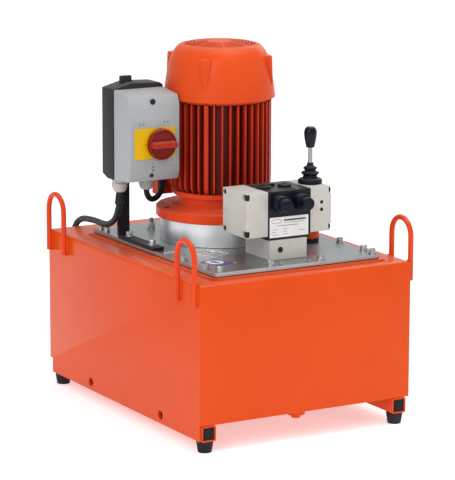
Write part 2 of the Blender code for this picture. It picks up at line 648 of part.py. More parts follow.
def coupling_and_pump():
    claw_half("motor_coupling_half", -0.010, 0.030, -0.0225, -0.009, SHAFT_R + GAP, 0)
    claw_half("pump_coupling_half", -0.064, -0.0345, -0.0355, -0.0222, 0.0105, 60)
    points = []
    for k in range(6):
        middle = 30 + 60 * k
        points += arc((MOTOR_X, MOTOR_Y), 0.0375, middle - 2.4, middle + 2.4, 1)
        points += arc((MOTOR_X, MOTOR_Y), 0.0216, middle + 3.4, middle + 56.6, 4)
    spider = prism("coupling_spider", points, plate_z(-0.0335), plate_z(-0.0113),
                   holes=[circle(MOTOR_X, MOTOR_Y, 0.0196, 16)])
    finish(spider, "red")
    pump = turned("pump_body", [(0, -0.196), (0.040, -0.196), (0.043, -0.193), (0.043, -0.128),
                                (0.056, -0.120), (0.056, -0.074), (0.062, -0.060), (0.062, -0.022),
                                (0.078, -0.020), (0.078, -PLATE_T - GAP), (0.050, -PLATE_T - GAP),
                                (0.050, -0.072), (0.0095, -0.072), (0.0095, -0.100), (0, -0.100)],
                  motor_point(), 24)
    outlet = turned("pump_outlet_guide", [(0, 0.036), (0.013, 0.036), (0.013, 0.0712), (0, 0.0712)],
                    (MOTOR_X, MOTOR_Y, plate_z(-0.145)), 16, "y")
    outlet.rotation_euler = (0, 0, math.pi)
    cut(pump, [outlet], "UNION")
    finish(pump, "cast_iron")
    shaft = turned("pump_shaft", [(0, -0.097), (0.009, -0.097), (0.009, -0.0712), (0.0102, -0.0702),
                                  (0.0102, -0.0365), (0.009, -0.0355), (0, -0.0355)], motor_point(), 16)
    finish(shaft, "steel")
    strainer = turned("suction_strainer", [(0, -0.262), (0.030, -0.262), (0.031, -0.260), (0.031, -0.212),
                                           (0.022, -0.206), (0.022, -0.196 - GAP), (0, -0.196 - GAP)],
                      motor_point(), 20)
    finish(strainer, "steel")


def oil_pipes():
    low_start = MOTOR_Y - 0.0715
    route = [(MOTOR_X, low_start, plate_z(-0.145)), (MOTOR_X, low_start - 0.03, plate_z(-0.145)),
             (MOTOR_X - 0.004, -0.150, plate_z(-0.140)), (PRESSURE_X + 0.004, -0.188, plate_z(-0.115)),
             (PRESSURE_X, PIPE_Y, plate_z(-0.075)), (PRESSURE_X, PIPE_Y, plate_z(-0.035)),
             (PRESSURE_X, PIPE_Y, plate_z(-GAP))]
    finish(rod("pressure_pipe", smooth_route(route, 0.014), 0.006), "steel")
    low = plate_z(-0.250)
    drop = [(RETURN_X, PIPE_Y, plate_z(-GAP)), (RETURN_X, PIPE_Y, low)]
    finish(rod("return_pipe", drop, 0.010), "steel")


# ---- valve --------------------------------------------------------------------------------------

def screw_pockets(name, face_x, inwards):
    """Recesses for the screws at an end cap's corners; the front two break out of its front face."""
    start, end = sorted((face_x - inwards * 0.005, face_x + inwards * POCKET_DEPTH))
    made = []
    for level, height in (("low", CAP_LOW + 0.0085), ("high", VALVE_TOP - 0.0085)):
        z = plate_z(height)
        shapes = {"front": rounded_rectangle(VALVE_FRONT - 0.006, VALVE_FRONT + POCKET_REACH, z - 0.0068,
                                             z + 0.0068, 0.0066),
                  "rear": circle(VALVE_REAR - 0.0085, z, 0.0064, 16)}
        for end_name, outline in shapes.items():
            made.append(prism(f"pocket_guide_{name}_{level}_{end_name}", outline, start, end, "x"))
    return made


def valve():
    z0 = plate_z(GAP)
    block = box("manifold_block", (BLOCK_X0, VALVE_FRONT, z0), (BLOCK_X1, VALVE_REAR, plate_z(BLOCK_H)))
    port = turned("gauge_port_guide", [(0, -0.01), (0.0058, -0.01), (0.0058, 0.014), (0, 0.016)],
                  (-0.015, VALVE_FRONT, plate_z(0.0225)), 20, "y")
    finish(cut(bevelled(block, 0.0008, 1), [port]), "valve_grey")

    low, high = plate_z(BLOCK_H + GAP), plate_z(VALVE_TOP)
    spool_line = ((BODY_X0 + BODY_X1) / 2, LEVER_Y, plate_z(SPOOL_Z))
    body = box("valve_body", (BODY_X0, VALVE_FRONT, low), (BODY_X1, VALVE_REAR, high))
    bore = turned("spool_bore_guide", [(0, -0.09), (SPOOL_R + GAP, -0.09), (SPOOL_R + GAP, 0.09),
                                       (0, 0.09)],
                  spool_line, 16, "x")
    stubs = [turned(f"port_stub_guide_{i}", [(0, -0.020), (STUB_R, -0.020), (STUB_R, 0.004), (0, 0.004)],
                    (x, VALVE_FRONT, plate_z(PORT_Z)), 20, "y") for i, x in enumerate(PORT_X)]
    cut(bevelled(body, 0.001, 1), [bore])
    finish(cut(body, stubs, "UNION"), "valve_black")

    left = box("valve_cap_left", (BODY_X0 - GAP - CAP_W, VALVE_FRONT, plate_z(CAP_LOW)),
               (BODY_X0 - GAP, VALVE_REAR, high))
    left_bore = turned("left_cap_bore_guide", [(0, 0), (0.013, 0), (0.013, 0.042), (0, 0.042)],
                       (BODY_X0 - 0.037, LEVER_Y, plate_z(SPOOL_Z)), 16, "x")
    finish(cut(bevelled(left, 0.0012), [left_bore, *screw_pockets("left", BODY_X0 - GAP - CAP_W, 1)]),
           "valve_grey")

    right = box("valve_cap_right", (BODY_X1 + GAP, VALVE_FRONT, plate_z(CAP_LOW)),
                (BODY_X1 + GAP + CAP_W, VALVE_REAR, high))
    right_bore = turned("right_cap_bore_guide", [(0, -0.01), (0.013, -0.01), (0.013, 0.0505), (0, 0.0505)],
                        (BODY_X1, LEVER_Y, plate_z(SPOOL_Z)), 16, "x")
    slot = box("lever_slot_guide", (LEVER_X - 0.0165, LEVER_Y - 0.0075, plate_z(SPOOL_Z - 0.002)),
               (LEVER_X + 0.0165, LEVER_Y + 0.0075, plate_z(VALVE_TOP + 0.01)))
    pockets = screw_pockets("right", BODY_X1 + GAP + CAP_W, -1)
    finish(cut(bevelled(right, 0.0012), [right_bore, slot, *pockets]), "valve_grey")

    middle = LEVER_X - 0.040
    spool = turned("valve_spool", [(0, -0.110), (0.0085, -0.110), (SPOOL_R, -0.108), (SPOOL_R, -0.080),
                                   (0.006, -0.078), (0.006, -0.062), (SPOOL_R, -0.060), (SPOOL_R, -0.042),
                                   (0.006, -0.040), (0.006, -0.024), (SPOOL_R, -0.022), (SPOOL_R, 0.0485),
                                   (0.0085, 0.050), (0, 0.050)], (middle, LEVER_Y, plate_z(SPOOL_Z)), 16,
                   "x")
    notch_shape = [(-0.0046, -0.0045), (0.0046, -0.0045), (0.0046, 0.0020), (0.0085, 0.0140),
                   (-0.0085, 0.0140), (-0.0046, 0.0020)]
    notch = prism("spool_notch_guide", [(LEVER_X + x, plate_z(SPOOL_Z + z)) for x, z in notch_shape],
                  LEVER_Y - 0.02, LEVER_Y + 0.02, "y")
    finish(cut(spool, [notch]), "steel")

    for name, x in zip(("left", "right"), PORT_X):
        dust_cap = turned(f"dust_cap_{name}", [(0, -0.041), (0.0115, -0.041), (0.0128, -0.0395),
                                               (0.0132, -0.026), (0.0172, -0.0235), (0.0178, -0.022),
                                               (0.0178, -GAP), (STUB_R + 0.5 * MM, -GAP),
                                               (STUB_R + 0.5 * MM, -0.0205), (0, -0.0205)],
                          (x, VALVE_FRONT, plate_z(PORT_Z)), 24, "y")
        finish(dust_cap, "rubber")


def lever():
    pivot = (LEVER_X, LEVER_Y, plate_z(LEVER_PIVOT_Z))
    stick = turned("lever_rod", [(0, -0.0425), (0.0030, -0.0420), (0.0042, -0.040), (0.0030, -0.0375),
                                 (0.0030, -0.006), (0.0046, -0.004), (0.0046, 0.1005), (0, 0.1005)], pivot,
                   16)
    finish(stick, "chrome")
    knob = turned("lever_knob", [(0, 0.1010), (0.0049, 0.1010), (0.0049, 0.0885), (0.0095, 0.0885),
                                 (0.0112, 0.0930), (0.0135, 0.1120), (0.0139, 0.1190), (0.0130, 0.1265),
                                 (0.0100, 0.1325), (0.0055, 0.1345), (0, 0.1348)], pivot, 20)
    finish(knob, "valve_black")
    base = VALVE_TOP - LEVER_PIVOT_Z + GAP
    outer = [(0.0262, base), (0.0262, base + 0.011), (0.0150, base + 0.0175), (0.0195, base + 0.0230),
             (0.0118, base + 0.0280), (0.0148, base + 0.0335), (0.0070, base + 0.0400)]
    inner = [(0.0056, base + 0.0400), (0.0105, base + 0.0280), (0.0130, base + 0.0170), (0.0225, base)]
    finish(turned("lever_boot", outer + inner, pivot, 20, ring=True), "rubber", 50)


# ---- switch box ---------------------------------------------------------------------------------

def switch_box():
    x0, x1 = POST_X - BAR_W / 2, POST_X + BAR_W / 2
    front = POST_REAR - BAR_T
    bend = 0.004
    outline = ([(FOOT_END, plate_z(GAP))]
               + arc((POST_REAR - BAR_T - bend, plate_z(GAP) + BAR_T + bend), BAR_T + bend, -90, 0, 5)
               + [(POST_REAR, plate_z(0.330)), (front, plate_z(0.330))]
               + arc((front - bend, plate_z(GAP) + BAR_T + bend), bend, 0, -90, 3)
               + [(FOOT_END, plate_z(GAP) + BAR_T)])
    finish(bevelled(prism("switch_bracket", outline, x0, x1, "x"), 0.001, 1), "black_paint")

    low, high = plate_z(BOX_LOW), plate_z(BOX_HIGH)
    base_outline = [(BOX_X0, low), (BOX_X1, low), (BOX_X1, high + 0.004), (BOX_X1 - 0.008, high + 0.0090),
                    (BOX_X0 + 0.0445, high + 0.0120), (BOX_X0, high)]
    base = prism("switch_box_base", base_outline, BOX_SPLIT + GAP, BOX_REAR, "y")
    hollow = box("switch_hollow_guide", (BOX_X0 + 0.003, BOX_SPLIT - 0.01, low + 0.015),
                 (BOX_X1 - 0.003, BOX_REAR - 0.004, high - 0.003))
    entries = [turned(f"entry_guide_{i}", [(0, -0.02), (0.0110, -0.02), (0.0110, 0.02), (0, 0.02)],
                      (x, GLAND_Y, low), 18) for i, x in enumerate((SUPPLY_X, MOTOR_GLAND_X))]
    slope = [(BOX_REAR + 0.01, low - 0.01), (BOX_REAR + 0.01, low + 0.0140), (0.0770, low),
             (0.0770, low - 0.01)]
    rise = prism("base_slope_guide", slope, BOX_X0 - 0.01, BOX_X1 + 0.01, "x")
    finish(cut(bevelled(base, 0.002), [hollow, *entries, rise]), "box_dark")

    side = [(BOX_SPLIT, low), (BOX_SPLIT, high), (BOX_FRONT + 0.009, high - 0.008),
            (BOX_FRONT, plate_z(0.314)), (BOX_FRONT, plate_z(0.168)), (BOX_FRONT + 0.007, low + 0.005)]
    cover_piece = prism("switch_box_cover", side, BOX_X0, BOX_X1, "x")
    cover_hollow = box("cover_hollow_guide", (BOX_X0 + 0.003, BOX_FRONT + 0.017, low + 0.012),
                       (BOX_X1 - 0.003, BOX_SPLIT + 0.01, high - 0.014))
    shaft_hole = turned("knob_hole_guide", [(0, -0.04), (0.0065, -0.04), (0.0065, 0.03), (0, 0.03)],
                        (KNOB_X, BOX_FRONT, plate_z(KNOB_Z)), 12, "y")
    finish(cut(bevelled(cover_piece, 0.0022), [cover_hollow, shaft_hole]), "box_light")

    plate = prism("switch_plate", rounded_rectangle(BOX_X0 + 0.011, BOX_X1 - 0.013, plate_z(0.1975),
                                                    plate_z(0.2645), 0.003),
                  BOX_FRONT - 0.0025, BOX_FRONT - GAP, "y", holes=[circle(KNOB_X, plate_z(KNOB_Z),
                                                                          0.0070, 20)])
    finish(plate, "yellow")

    pivot = (KNOB_X, BOX_FRONT, plate_z(KNOB_Z))
    dial = turned("switch_knob", [(0, -0.0195), (0.0260, -0.0195), (0.0322, -0.0165), (0.0340, -0.0120),
                                  (0.0340, -0.0060), (0.0160, -0.0060), (0.0160, -0.0030),
                                  (0.0060, -0.0030), (0.0060, 0.022), (0, 0.022)], pivot, 28, "y")
    grip = prism("grip_guide", rounded_rectangle(KNOB_X - 0.031, KNOB_X + 0.031, pivot[2] - 0.0078,
                                                 pivot[2] + 0.0078, 0.0076, 4),
                 BOX_FRONT - 0.034, BOX_FRONT - 0.014, "y")
    finish(cut(dial, [grip], "UNION"), "red")


def glands():
    low = plate_z(BOX_LOW)
    for name, x, cable in (("supply_gland", SUPPLY_X, SUPPLY_R), ("motor_gland", MOTOR_GLAND_X,
                                                                  MOTOR_CABLE_R)):
        bore = cable + 0.5 * MM
        gland = turned(name, [(bore, 0.010), (0.0105, 0.010), (0.0105, -GAP), (0.0168, -GAP),
                              (0.0162, -0.0235), (0.0125, -0.029), (bore, -0.029)], (x, GLAND_Y, low), 18,
                       ring=True)
        finish(gland, "gland_grey")


# ---- cables -------------------------------------------------------------------------------------

def motor_cable():
    top = BOX_LOW + 0.008
    end_y = MOTOR_Y + FIN_TIP_R + 0.0242
    route = [(MOTOR_GLAND_X, GLAND_Y, top), (MOTOR_GLAND_X, GLAND_Y, 0.120),
             (MOTOR_GLAND_X + 0.002, GLAND_Y + 0.001, 0.104), (-0.1490, 0.070, 0.0905),
             (-0.1310, 0.079, 0.0890), (-0.1150, 0.087, 0.0990), (-0.1080, 0.091, 0.1160),
             (-0.1085, 0.095, 0.1340), (-0.1105, 0.107, 0.1520), (-0.1115, 0.122, 0.1690),
             (-0.1080, 0.140, 0.1830), (-0.0980, end_y - 0.003, 0.1880), (-0.0860, end_y, 0.188),
             (-0.0780, end_y, 0.188), (-0.0640, end_y, 0.188), (-0.0500, end_y, 0.188)]
    points = smooth_route([(x, y, plate_z(z)) for x, y, z in route], 0.009)
    finish(rod("motor_cable", points, MOTOR_CABLE_R, 2), "rubber")


def supply_route():
    """The supply cable from its gland, across the plate, over the rear edge and down to the coil."""
    floor = SUPPLY_R + GAP
    stops = [(SUPPLY_X, GLAND_Y, plate_z(BOX_LOW + 0.008)), (SUPPLY_X, GLAND_Y, plate_z(0.108)),
             (-0.2280, 0.068, plate_z(0.080)), (-0.2255, 0.090, plate_z(0.050)),
             (-0.2190, 0.130, plate_z(0.031)), (-0.2105, 0.178, plate_z(0.0220)),
             (-0.2000, 0.230, plate_z(0.0180)), (-0.1920, 0.285, plate_z(0.0125)),
             (-0.1880, 0.325, plate_z(0.0060)), (-0.1870, 0.355, plate_z(-0.009)),
             (-0.1870, 0.372, plate_z(-0.036)), (-0.1870, 0.3765, plate_z(-0.080)),
             (-0.1870, 0.3765, 0.220), (-0.1865, 0.3770, 0.150), (-0.1860, 0.3830, 0.090),
             (-0.1850, 0.4040, 0.040), (-0.1800, 0.4370, 0.0140), (-0.1680, 0.4760, floor),
             (-0.1470, 0.5180, floor), (-0.1200, 0.5500, floor), (-0.0970, 0.5680, floor),
             (-0.0840, 0.5745, floor), (-0.0738, 0.5762, floor)]
    return smooth_route(stops, 0.021)


def supply_cord():
    finish(rod("supply_cable", supply_route(), SUPPLY_R, 2), "rubber")
    pitch = 2 * SUPPLY_R
    inner = COIL_MEAN_R - COIL_TURNS_ACROSS * pitch / 2
    outer = COIL_MEAN_R + COIL_TURNS_ACROSS * pitch / 2
    height = COIL_LAYERS * pitch
    coil = turned("supply_cable_coil", [(inner, GAP), (outer, GAP), (outer, height), (inner, height)],
                  (COIL_X, COIL_Y, 0.0), 32, ring=True)
    finish(bevelled(coil, 0.003, 1), "rubber")
    plug = turned("supply_plug", [(0, 0), (0.0095, 0), (0.0155, 0.010), (0.0170, 0.030), (0.0260, 0.045),
                                  (0.0270, 0.085), (0.0285, 0.087), (0.0285, 0.097), (0.0255, 0.098),
                                  (0.0255, 0.132), (0, 0.132)],
                  (COIL_X + 0.062, COIL_Y + outer - SUPPLY_R + GAP, 0.029), 20, "x")
    finish(plug, "red")


def build():
    clear_scene()
    tank()
    rails_and_feet()
    bails()
    drain()
    cover()
    filler()
    bell_and_flange()
    motor_frame()
    foot_pad()
    motor_inside()
    fan()
    fan_cover()
    terminal_box()
    coupling_and_pump()
    oil_pipes()
    valve()
    lever()
    switch_box()
    glands()
    motor_cable()
    supply_cord()


build()
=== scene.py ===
"""Looks of the hydraulic power unit: finishes, fine detail, cords, floor, light and camera."""

import json
import math
import random

import bmesh
import bpy
from mathutils import Matrix, Vector


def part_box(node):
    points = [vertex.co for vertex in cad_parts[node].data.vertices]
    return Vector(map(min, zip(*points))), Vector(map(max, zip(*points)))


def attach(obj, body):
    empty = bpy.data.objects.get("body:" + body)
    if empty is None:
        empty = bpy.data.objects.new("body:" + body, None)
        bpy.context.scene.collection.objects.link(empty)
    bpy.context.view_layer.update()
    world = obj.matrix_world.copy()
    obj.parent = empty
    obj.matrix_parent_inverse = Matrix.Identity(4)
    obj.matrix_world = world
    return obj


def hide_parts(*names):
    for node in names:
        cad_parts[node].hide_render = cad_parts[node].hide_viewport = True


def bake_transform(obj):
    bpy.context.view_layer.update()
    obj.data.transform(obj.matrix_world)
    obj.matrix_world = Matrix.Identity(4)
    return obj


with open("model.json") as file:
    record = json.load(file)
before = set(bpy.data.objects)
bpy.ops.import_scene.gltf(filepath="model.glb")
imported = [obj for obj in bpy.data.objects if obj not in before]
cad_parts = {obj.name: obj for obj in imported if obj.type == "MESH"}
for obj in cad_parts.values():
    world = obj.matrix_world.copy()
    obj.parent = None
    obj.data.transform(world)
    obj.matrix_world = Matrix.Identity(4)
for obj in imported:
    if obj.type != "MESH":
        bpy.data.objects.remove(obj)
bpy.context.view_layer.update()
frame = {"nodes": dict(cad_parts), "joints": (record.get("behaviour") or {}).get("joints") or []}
NODES = frame["nodes"]
MM = 0.001
FRONT, BACK, RIGHT = (0, -1, 0), (0, 1, 0), (1, 0, 0)
SIDES = (("left", -1), ("right", 1))
CORNERS = [(f"{end}_{side}", sign) for end in ("front", "rear") for side, sign in SIDES]
random.seed(7)


# ---- node materials -----------------------------------------------------------------------------

class Look:
    """A procedural material, built up from noise read in the object's own coordinates, in metres."""

    def __init__(self, name, colour, rough, metal=0.0, **sockets):
        self.made = bpy.data.materials.new(name)
        self.made.use_nodes = True
        self.made.diffuse_color = (*colour, 1.0)
        self.tree = self.made.node_tree
        self.shader = self.tree.nodes["Principled BSDF"]
        self.shader.inputs["Base Color"].default_value = (*colour, 1.0)
        self.shader.inputs["Roughness"].default_value = rough
        self.shader.inputs["Metallic"].default_value = metal
        if metal < 0.5:
            self.shader.inputs["Specular IOR Level"].default_value = 0.12
        for socket, value in sockets.items():
            self.shader.inputs[socket.replace("_", " ")].default_value = value
        self.place = self.node("ShaderNodeTexCoord").outputs["Object"]
        self.colour = self.constant = (*colour, 1.0)
        self.rough = rough
        self.normal = None

    def feed(self, socket, value):
        if isinstance(value, bpy.types.NodeSocket):
            self.tree.links.new(value, socket)
        else:
            socket.default_value = value

    def node(self, kind, inputs=(), **settings):
        """A new node; each input is a value or another node's output."""
        made = self.tree.nodes.new(kind)
        for key, value in settings.items():
            setattr(made, key, value)
        for socket, value in dict(inputs).items():
            self.feed(made.inputs[socket], value)
        return made

    def spread(self, stretch):
        """Coordinates scaled unevenly, for brushed and streaked finishes."""
        return self.node("ShaderNodeMapping", {"Vector": self.place, "Scale": stretch}).outputs["Vector"]

    def noise(self, scale, detail=3.0, stretch=None, rough=0.5):
        place = self.spread(stretch) if stretch else self.place
        return self.node("ShaderNodeTexNoise", {"Vector": place, "Scale": scale, "Detail": detail,
                                                "Roughness": rough}).outputs["Fac"]

    def cells(self, scale):
        return self.node("ShaderNodeTexVoronoi", {"Vector": self.place, "Scale": scale}).outputs["Distance"]

    def ramp(self, value, low, high, bottom=0.0, top=1.0):
        return self.node("ShaderNodeMapRange", {"Value": value, "From Min": low, "From Max": high,
                                                "To Min": bottom, "To Max": top}).outputs["Result"]

    def maths(self, how, a, b):
        return self.node("ShaderNodeMath", {0: a, 1: b}, operation=how).outputs[0]

    def mix(self, amount, a, b):
        a, b = ((*c, 1.0) if isinstance(c, tuple) and len(c) == 3 else c for c in (a, b))
        return self.node("ShaderNodeMix", {0: amount, 6: a, 7: b}, data_type="RGBA").outputs[2]

    def upward(self):
        """1 on faces that look up, 0 on walls."""
        normal = self.node("ShaderNodeNewGeometry").outputs["Normal"]
        return self.ramp(self.node("ShaderNodeSeparateXYZ", {0: normal}).outputs["Z"], 0.6, 0.98)

    def tint(self, amount, colour):
        self.colour = self.mix(amount, self.colour, colour)
        return self

    def mottle(self, scale, dark, light, detail=3.0):
        """Slow drifts of tone between the two colours."""
        self.colour = self.mix(self.ramp(self.noise(scale, detail), 0.3, 0.7), dark, light)
        return self

    def dust(self, colour=(0.42, 0.36, 0.3), amount=0.12):
        """A thin film on faces that look up, thicker in patches."""
        patch = self.ramp(self.noise(9.0, 5.0), 0.35, 0.75, 0.15, amount * 2)
        film = self.maths("MULTIPLY", patch, self.upward())
        self.tint(film, colour)
        self.rough = self.maths("ADD", self.rough, self.maths("MULTIPLY", film, 0.5))
        return self

    def grime(self, colour, amount, scale=16.0):
        """Soft dark smudges in patches."""
        patch = self.ramp(self.noise(scale, 6.0, rough=0.65), 0.5, 0.78, 0.0, amount)
        return self.tint(patch, colour)

    def specks(self, colour, scale, share=0.06, amount=0.8):
        """Small dots of another colour, one in some of the cells."""
        spot = self.ramp(self.cells(scale), share, share * 0.55)
        return self.tint(self.maths("MULTIPLY", spot, amount), colour)

    def vary_rough(self, scale, spread, stretch=None):
        swing = self.ramp(self.noise(scale, 4.0, stretch), 0.25, 0.75, -spread, spread)
        self.rough = self.maths("ADD", self.rough, swing)
        return self

    def bump(self, value, strength, distance):
        made = self.node("ShaderNodeBump", {"Strength": strength, "Distance": distance, "Height": value})
        if self.normal is not None:
            self.feed(made.inputs["Normal"], self.normal)
        self.normal = made.outputs["Normal"]
        return self

    def grain(self, scale, strength=0.2, distance=0.0004, detail=2.0, stretch=None):
        return self.bump(self.noise(scale, detail, stretch), strength, distance)

    def done(self):
        if self.colour is not self.constant:
            self.feed(self.shader.inputs["Base Color"], self.colour)
        if isinstance(self.rough, bpy.types.NodeSocket):
            self.feed(self.shader.inputs["Roughness"], self.rough)
        if self.normal is not None:
            self.feed(self.shader.inputs["Normal"], self.normal)
        return self.made


def enamel(name, colour, deep, rough=0.22, peel=0.1):
    """Glossy sprayed paint with orange peel and a little film of dust on top."""
    look = Look(name, colour, rough, Coat_Weight=0.07, Coat_Roughness=0.12)
    look.mottle(2.2, deep, colour)
    look.grime(tuple(c * 0.55 for c in deep), 0.14, 11.0)
    look.dust((0.62, 0.4, 0.28), 0.05)
    look.vary_rough(24.0, 0.05)
    look.grain(330.0, peel, 0.0006)
    return look.done()


def casting_paint(name, colour, deep, gap_shade_axis=None):
    """Satin paint over a sand casting, pebbled; with an axis given, painted shade darkens the deep parts
    round that axis, the gaps between the fins.
    """
    look = Look(name, colour, 0.4, Coat_Weight=0.04, Coat_Roughness=0.2)
    look.mottle(7.0, deep, colour)
    if gap_shade_axis:
        shifted = look.node("ShaderNodeVectorMath", {0: look.place, 1: gap_shade_axis}, operation="SUBTRACT")
        flat = look.node("ShaderNodeVectorMath", {0: shifted.outputs[0], 1: (1.0, 1.0, 0.0)},
                         operation="MULTIPLY")
        away = look.node("ShaderNodeVectorMath", {0: flat.outputs[0]}, operation="LENGTH")
        # painted shade: the fin gaps, nearer the axis than the fin tips, are tinted dark red as if in shadow
        shade_start_radius, shade_full_radius = 0.1128, 0.1
        look.tint(look.ramp(away.outputs["Value"], shade_start_radius, shade_full_radius), (0.17, 0.01, 0.006))
    look.grime(tuple(c * 0.45 for c in deep), 0.22, 21.0)
    look.dust((0.55, 0.36, 0.26), 0.06)
    look.vary_rough(60.0, 0.08)
    look.grain(900.0, 0.22, 0.0005, 3.0).grain(140.0, 0.1, 0.001)
    return look.done()


def plastic(name, colour, rough=0.45, grain=1500.0, strength=0.16, dirt=0.1, **sockets):
    """Moulded plastic with a fine spark-eroded grain."""
    look = Look(name, colour, rough, **sockets)
    look.mottle(14.0, tuple(c * 0.93 for c in colour), colour)
    look.grime(tuple(c * 0.5 for c in colour), dirt, 26.0)
    look.dust(amount=0.05)
    look.vary_rough(70.0, 0.05)
    look.grain(grain, strength, 0.0003)
    return look.done()


def rubber(name, colour=(0.018, 0.019, 0.022), rough=0.55):
    look = Look(name, colour, rough, Specular_IOR_Level=0.14)
    look.mottle(30.0, tuple(c * 0.7 for c in colour), tuple(c * 1.35 for c in colour))
    look.dust((0.2, 0.19, 0.18), 0.1)
    look.vary_rough(90.0, 0.1)
    look.grain(1100.0, 0.22, 0.0003)
    return look.done()


def metal(name, colour, rough, brushed=None, scale=60.0, strength=0.12, stain=0.15):
    """Bare metal; brushed gives the stretch of its tool marks."""
    look = Look(name, colour, rough, 1.0)
    look.mottle(18.0, tuple(c * 0.86 for c in colour), colour)
    look.grime((0.16, 0.14, 0.12), stain, 30.0)
    look.vary_rough(scale, 0.09, brushed)
    look.grain(scale * 2, strength, 0.0002, 3.0, brushed)
    return look.done()


ORANGE, ORANGE_DEEP = (0.7, 0.07, 0.004), (0.65, 0.06, 0.004)
LOOKS = {
    "enamel": enamel("enamel_orange", ORANGE, ORANGE_DEEP),
    "bar_enamel": enamel("enamel_bars", (0.72, 0.062, 0.008), (0.66, 0.05, 0.007), 0.28, 0.16),
    "casting": casting_paint("casting_orange", (0.76, 0.058, 0.007), (0.6, 0.038, 0.005)),
    # the fins' finish carries painted shade in the gaps between the fins, round this axis
    "fins": casting_paint("casting_fins", (0.56, 0.038, 0.008), (0.44, 0.026, 0.006), (-0.003, 0.018, 0.0)),
    "cover": enamel("cover_orange", (0.69, 0.074, 0.009), (0.63, 0.06, 0.007), 0.38, 0.14),
    "rubber": rubber("rubber_black"),
    "gasket": rubber("gasket_red", (0.1, 0.026, 0.014), 0.6),
    "cable": rubber("cable_sheath", (0.016, 0.017, 0.021), 0.42),
    "boot": rubber("boot_rubber", (0.006, 0.008, 0.013), 0.38),
    "cap_rubber": rubber("cap_rubber", (0.004, 0.006, 0.012), 0.36),
    "box_light": plastic("box_light_grey", (0.36, 0.375, 0.385), 0.46),
    "box_dark": plastic("box_dark_grey", (0.026, 0.027, 0.029), 0.5),
    "gland": plastic("gland_grey", (0.44, 0.44, 0.4), 0.48),
    "yellow": plastic("plate_yellow", (0.74, 0.42, 0.002), 0.36, 900.0, 0.08),
    "red": plastic("knob_red", (0.19, 0.01, 0.005), 0.3, 700.0, 0.06, Coat_Weight=0.06),
    # painted light: a lighter copy of the dial's red, standing in for the grip bar's lit top
    "red_painted_lit": plastic("grip_red_painted_lit", (0.36, 0.022, 0.009), 0.28, 700.0, 0.06, Coat_Weight=0.06),
    "black_plastic": plastic("black_plastic", (0.014, 0.015, 0.018), 0.33, 900.0, 0.1),
    "gloss_black": plastic("gloss_black", (0.005, 0.006, 0.009), 0.16, 300.0, 0.03, Coat_Weight=0.12),
    "white_label": plastic("label_white", (0.8, 0.8, 0.79), 0.34, 500.0, 0.04, 0.06),
    "ink": plastic("label_ink", (0.02, 0.021, 0.026), 0.4, 500.0, 0.04),
    "blue": plastic("label_blue", (0.015, 0.07, 0.3), 0.34, 500.0, 0.04),
    "steel": metal("ground_steel", (0.5, 0.51, 0.53), 0.3, (1, 1, 14)),
    "zinc": metal("zinc_bolt", (0.46, 0.47, 0.46), 0.32, None, 300.0, 0.2, 0.3),
    "black_screw": metal("blackened_screw", (0.035, 0.036, 0.04), 0.42, None, 260.0, 0.15, 0.1),
    "iron": metal("dark_iron", (0.15, 0.155, 0.16), 0.55, None, 240.0, 0.35, 0.3),
    "copper": metal("varnished_winding", (0.5, 0.2, 0.07), 0.35, (1, 1, 60), 90.0, 0.5, 0.1),
    "chrome": metal("chrome_rod", (0.36, 0.36, 0.37), 0.16, (1, 1, 0.1), 300.0, 0.03, 0.04),
    "brass": metal("brass_pin", (0.72, 0.52, 0.22), 0.25, None, 300.0, 0.05, 0.1),
}


def zinc_sheet():
    """The cover plate: zinc-plated sheet, faintly clouded, rolled along its length, a few oil marks."""
    look = Look("zinc_sheet", (0.38, 0.41, 0.41), 0.34, 0.9)
    look.mottle(5.0, (0.35, 0.38, 0.38), (0.42, 0.45, 0.45), 5.0)
    look.grime((0.2, 0.17, 0.15), 0.14, 13.0)
    look.vary_rough(6.0, 0.08).vary_rough(40.0, 0.05, (1, 0.06, 1))
    look.grain(60.0, 0.1, 0.0003, 3.0, (1, 0.05, 1)).grain(9.0, 0.05, 0.002)
    return look.done()


def turned_aluminium():
    """The bell housing: cast aluminium turned on its outside, with fine rings round it."""
    look = Look("turned_aluminium", (0.72, 0.74, 0.76), 0.36, 0.9)
    look.mottle(10.0, (0.66, 0.68, 0.7), (0.76, 0.78, 0.8))
    look.grime((0.25, 0.24, 0.23), 0.22, 24.0)
    look.vary_rough(120.0, 0.07, (0.05, 0.05, 1))
    look.grain(420.0, 0.22, 0.0003, 2.0, (0.03, 0.03, 1))
    return look.done()


def anodised(name, colour):
    """Pale painted valve castings with small dark pinholes."""
    look = Look(name, colour, 0.44, 0.15)
    look.mottle(26.0, tuple(c * 0.93 for c in colour), colour)
    look.specks((0.16, 0.14, 0.12), 150.0, 0.1, 0.55)
    look.grime((0.25, 0.22, 0.18), 0.18, 32.0)
    look.dust(amount=0.03)
    look.vary_rough(80.0, 0.07)
    look.grain(1000.0, 0.18, 0.0003)
    return look.done()


def black_enamel(name, rough=0.4):
    look = Look(name, (0.008, 0.009, 0.012), rough, Coat_Weight=0.05, Coat_Roughness=0.15)
    look.mottle(20.0, (0.006, 0.007, 0.009), (0.01, 0.011, 0.014))
    look.dust((0.2, 0.19, 0.19), 0.1)
    look.vary_rough(50.0, 0.08)
    look.grain(600.0, 0.16, 0.0004)
    return look.done()


LOOKS.update({
    "sheet": zinc_sheet(), "aluminium": turned_aluminium(),
    "valve_grey": anodised("valve_pale", (0.56, 0.545, 0.5)),
    "black_bar": black_enamel("black_bar"), "valve_black": black_enamel("valve_black", 0.26),
})


# ---- shapes: each is (points, faces) ------------------------------------------------------------

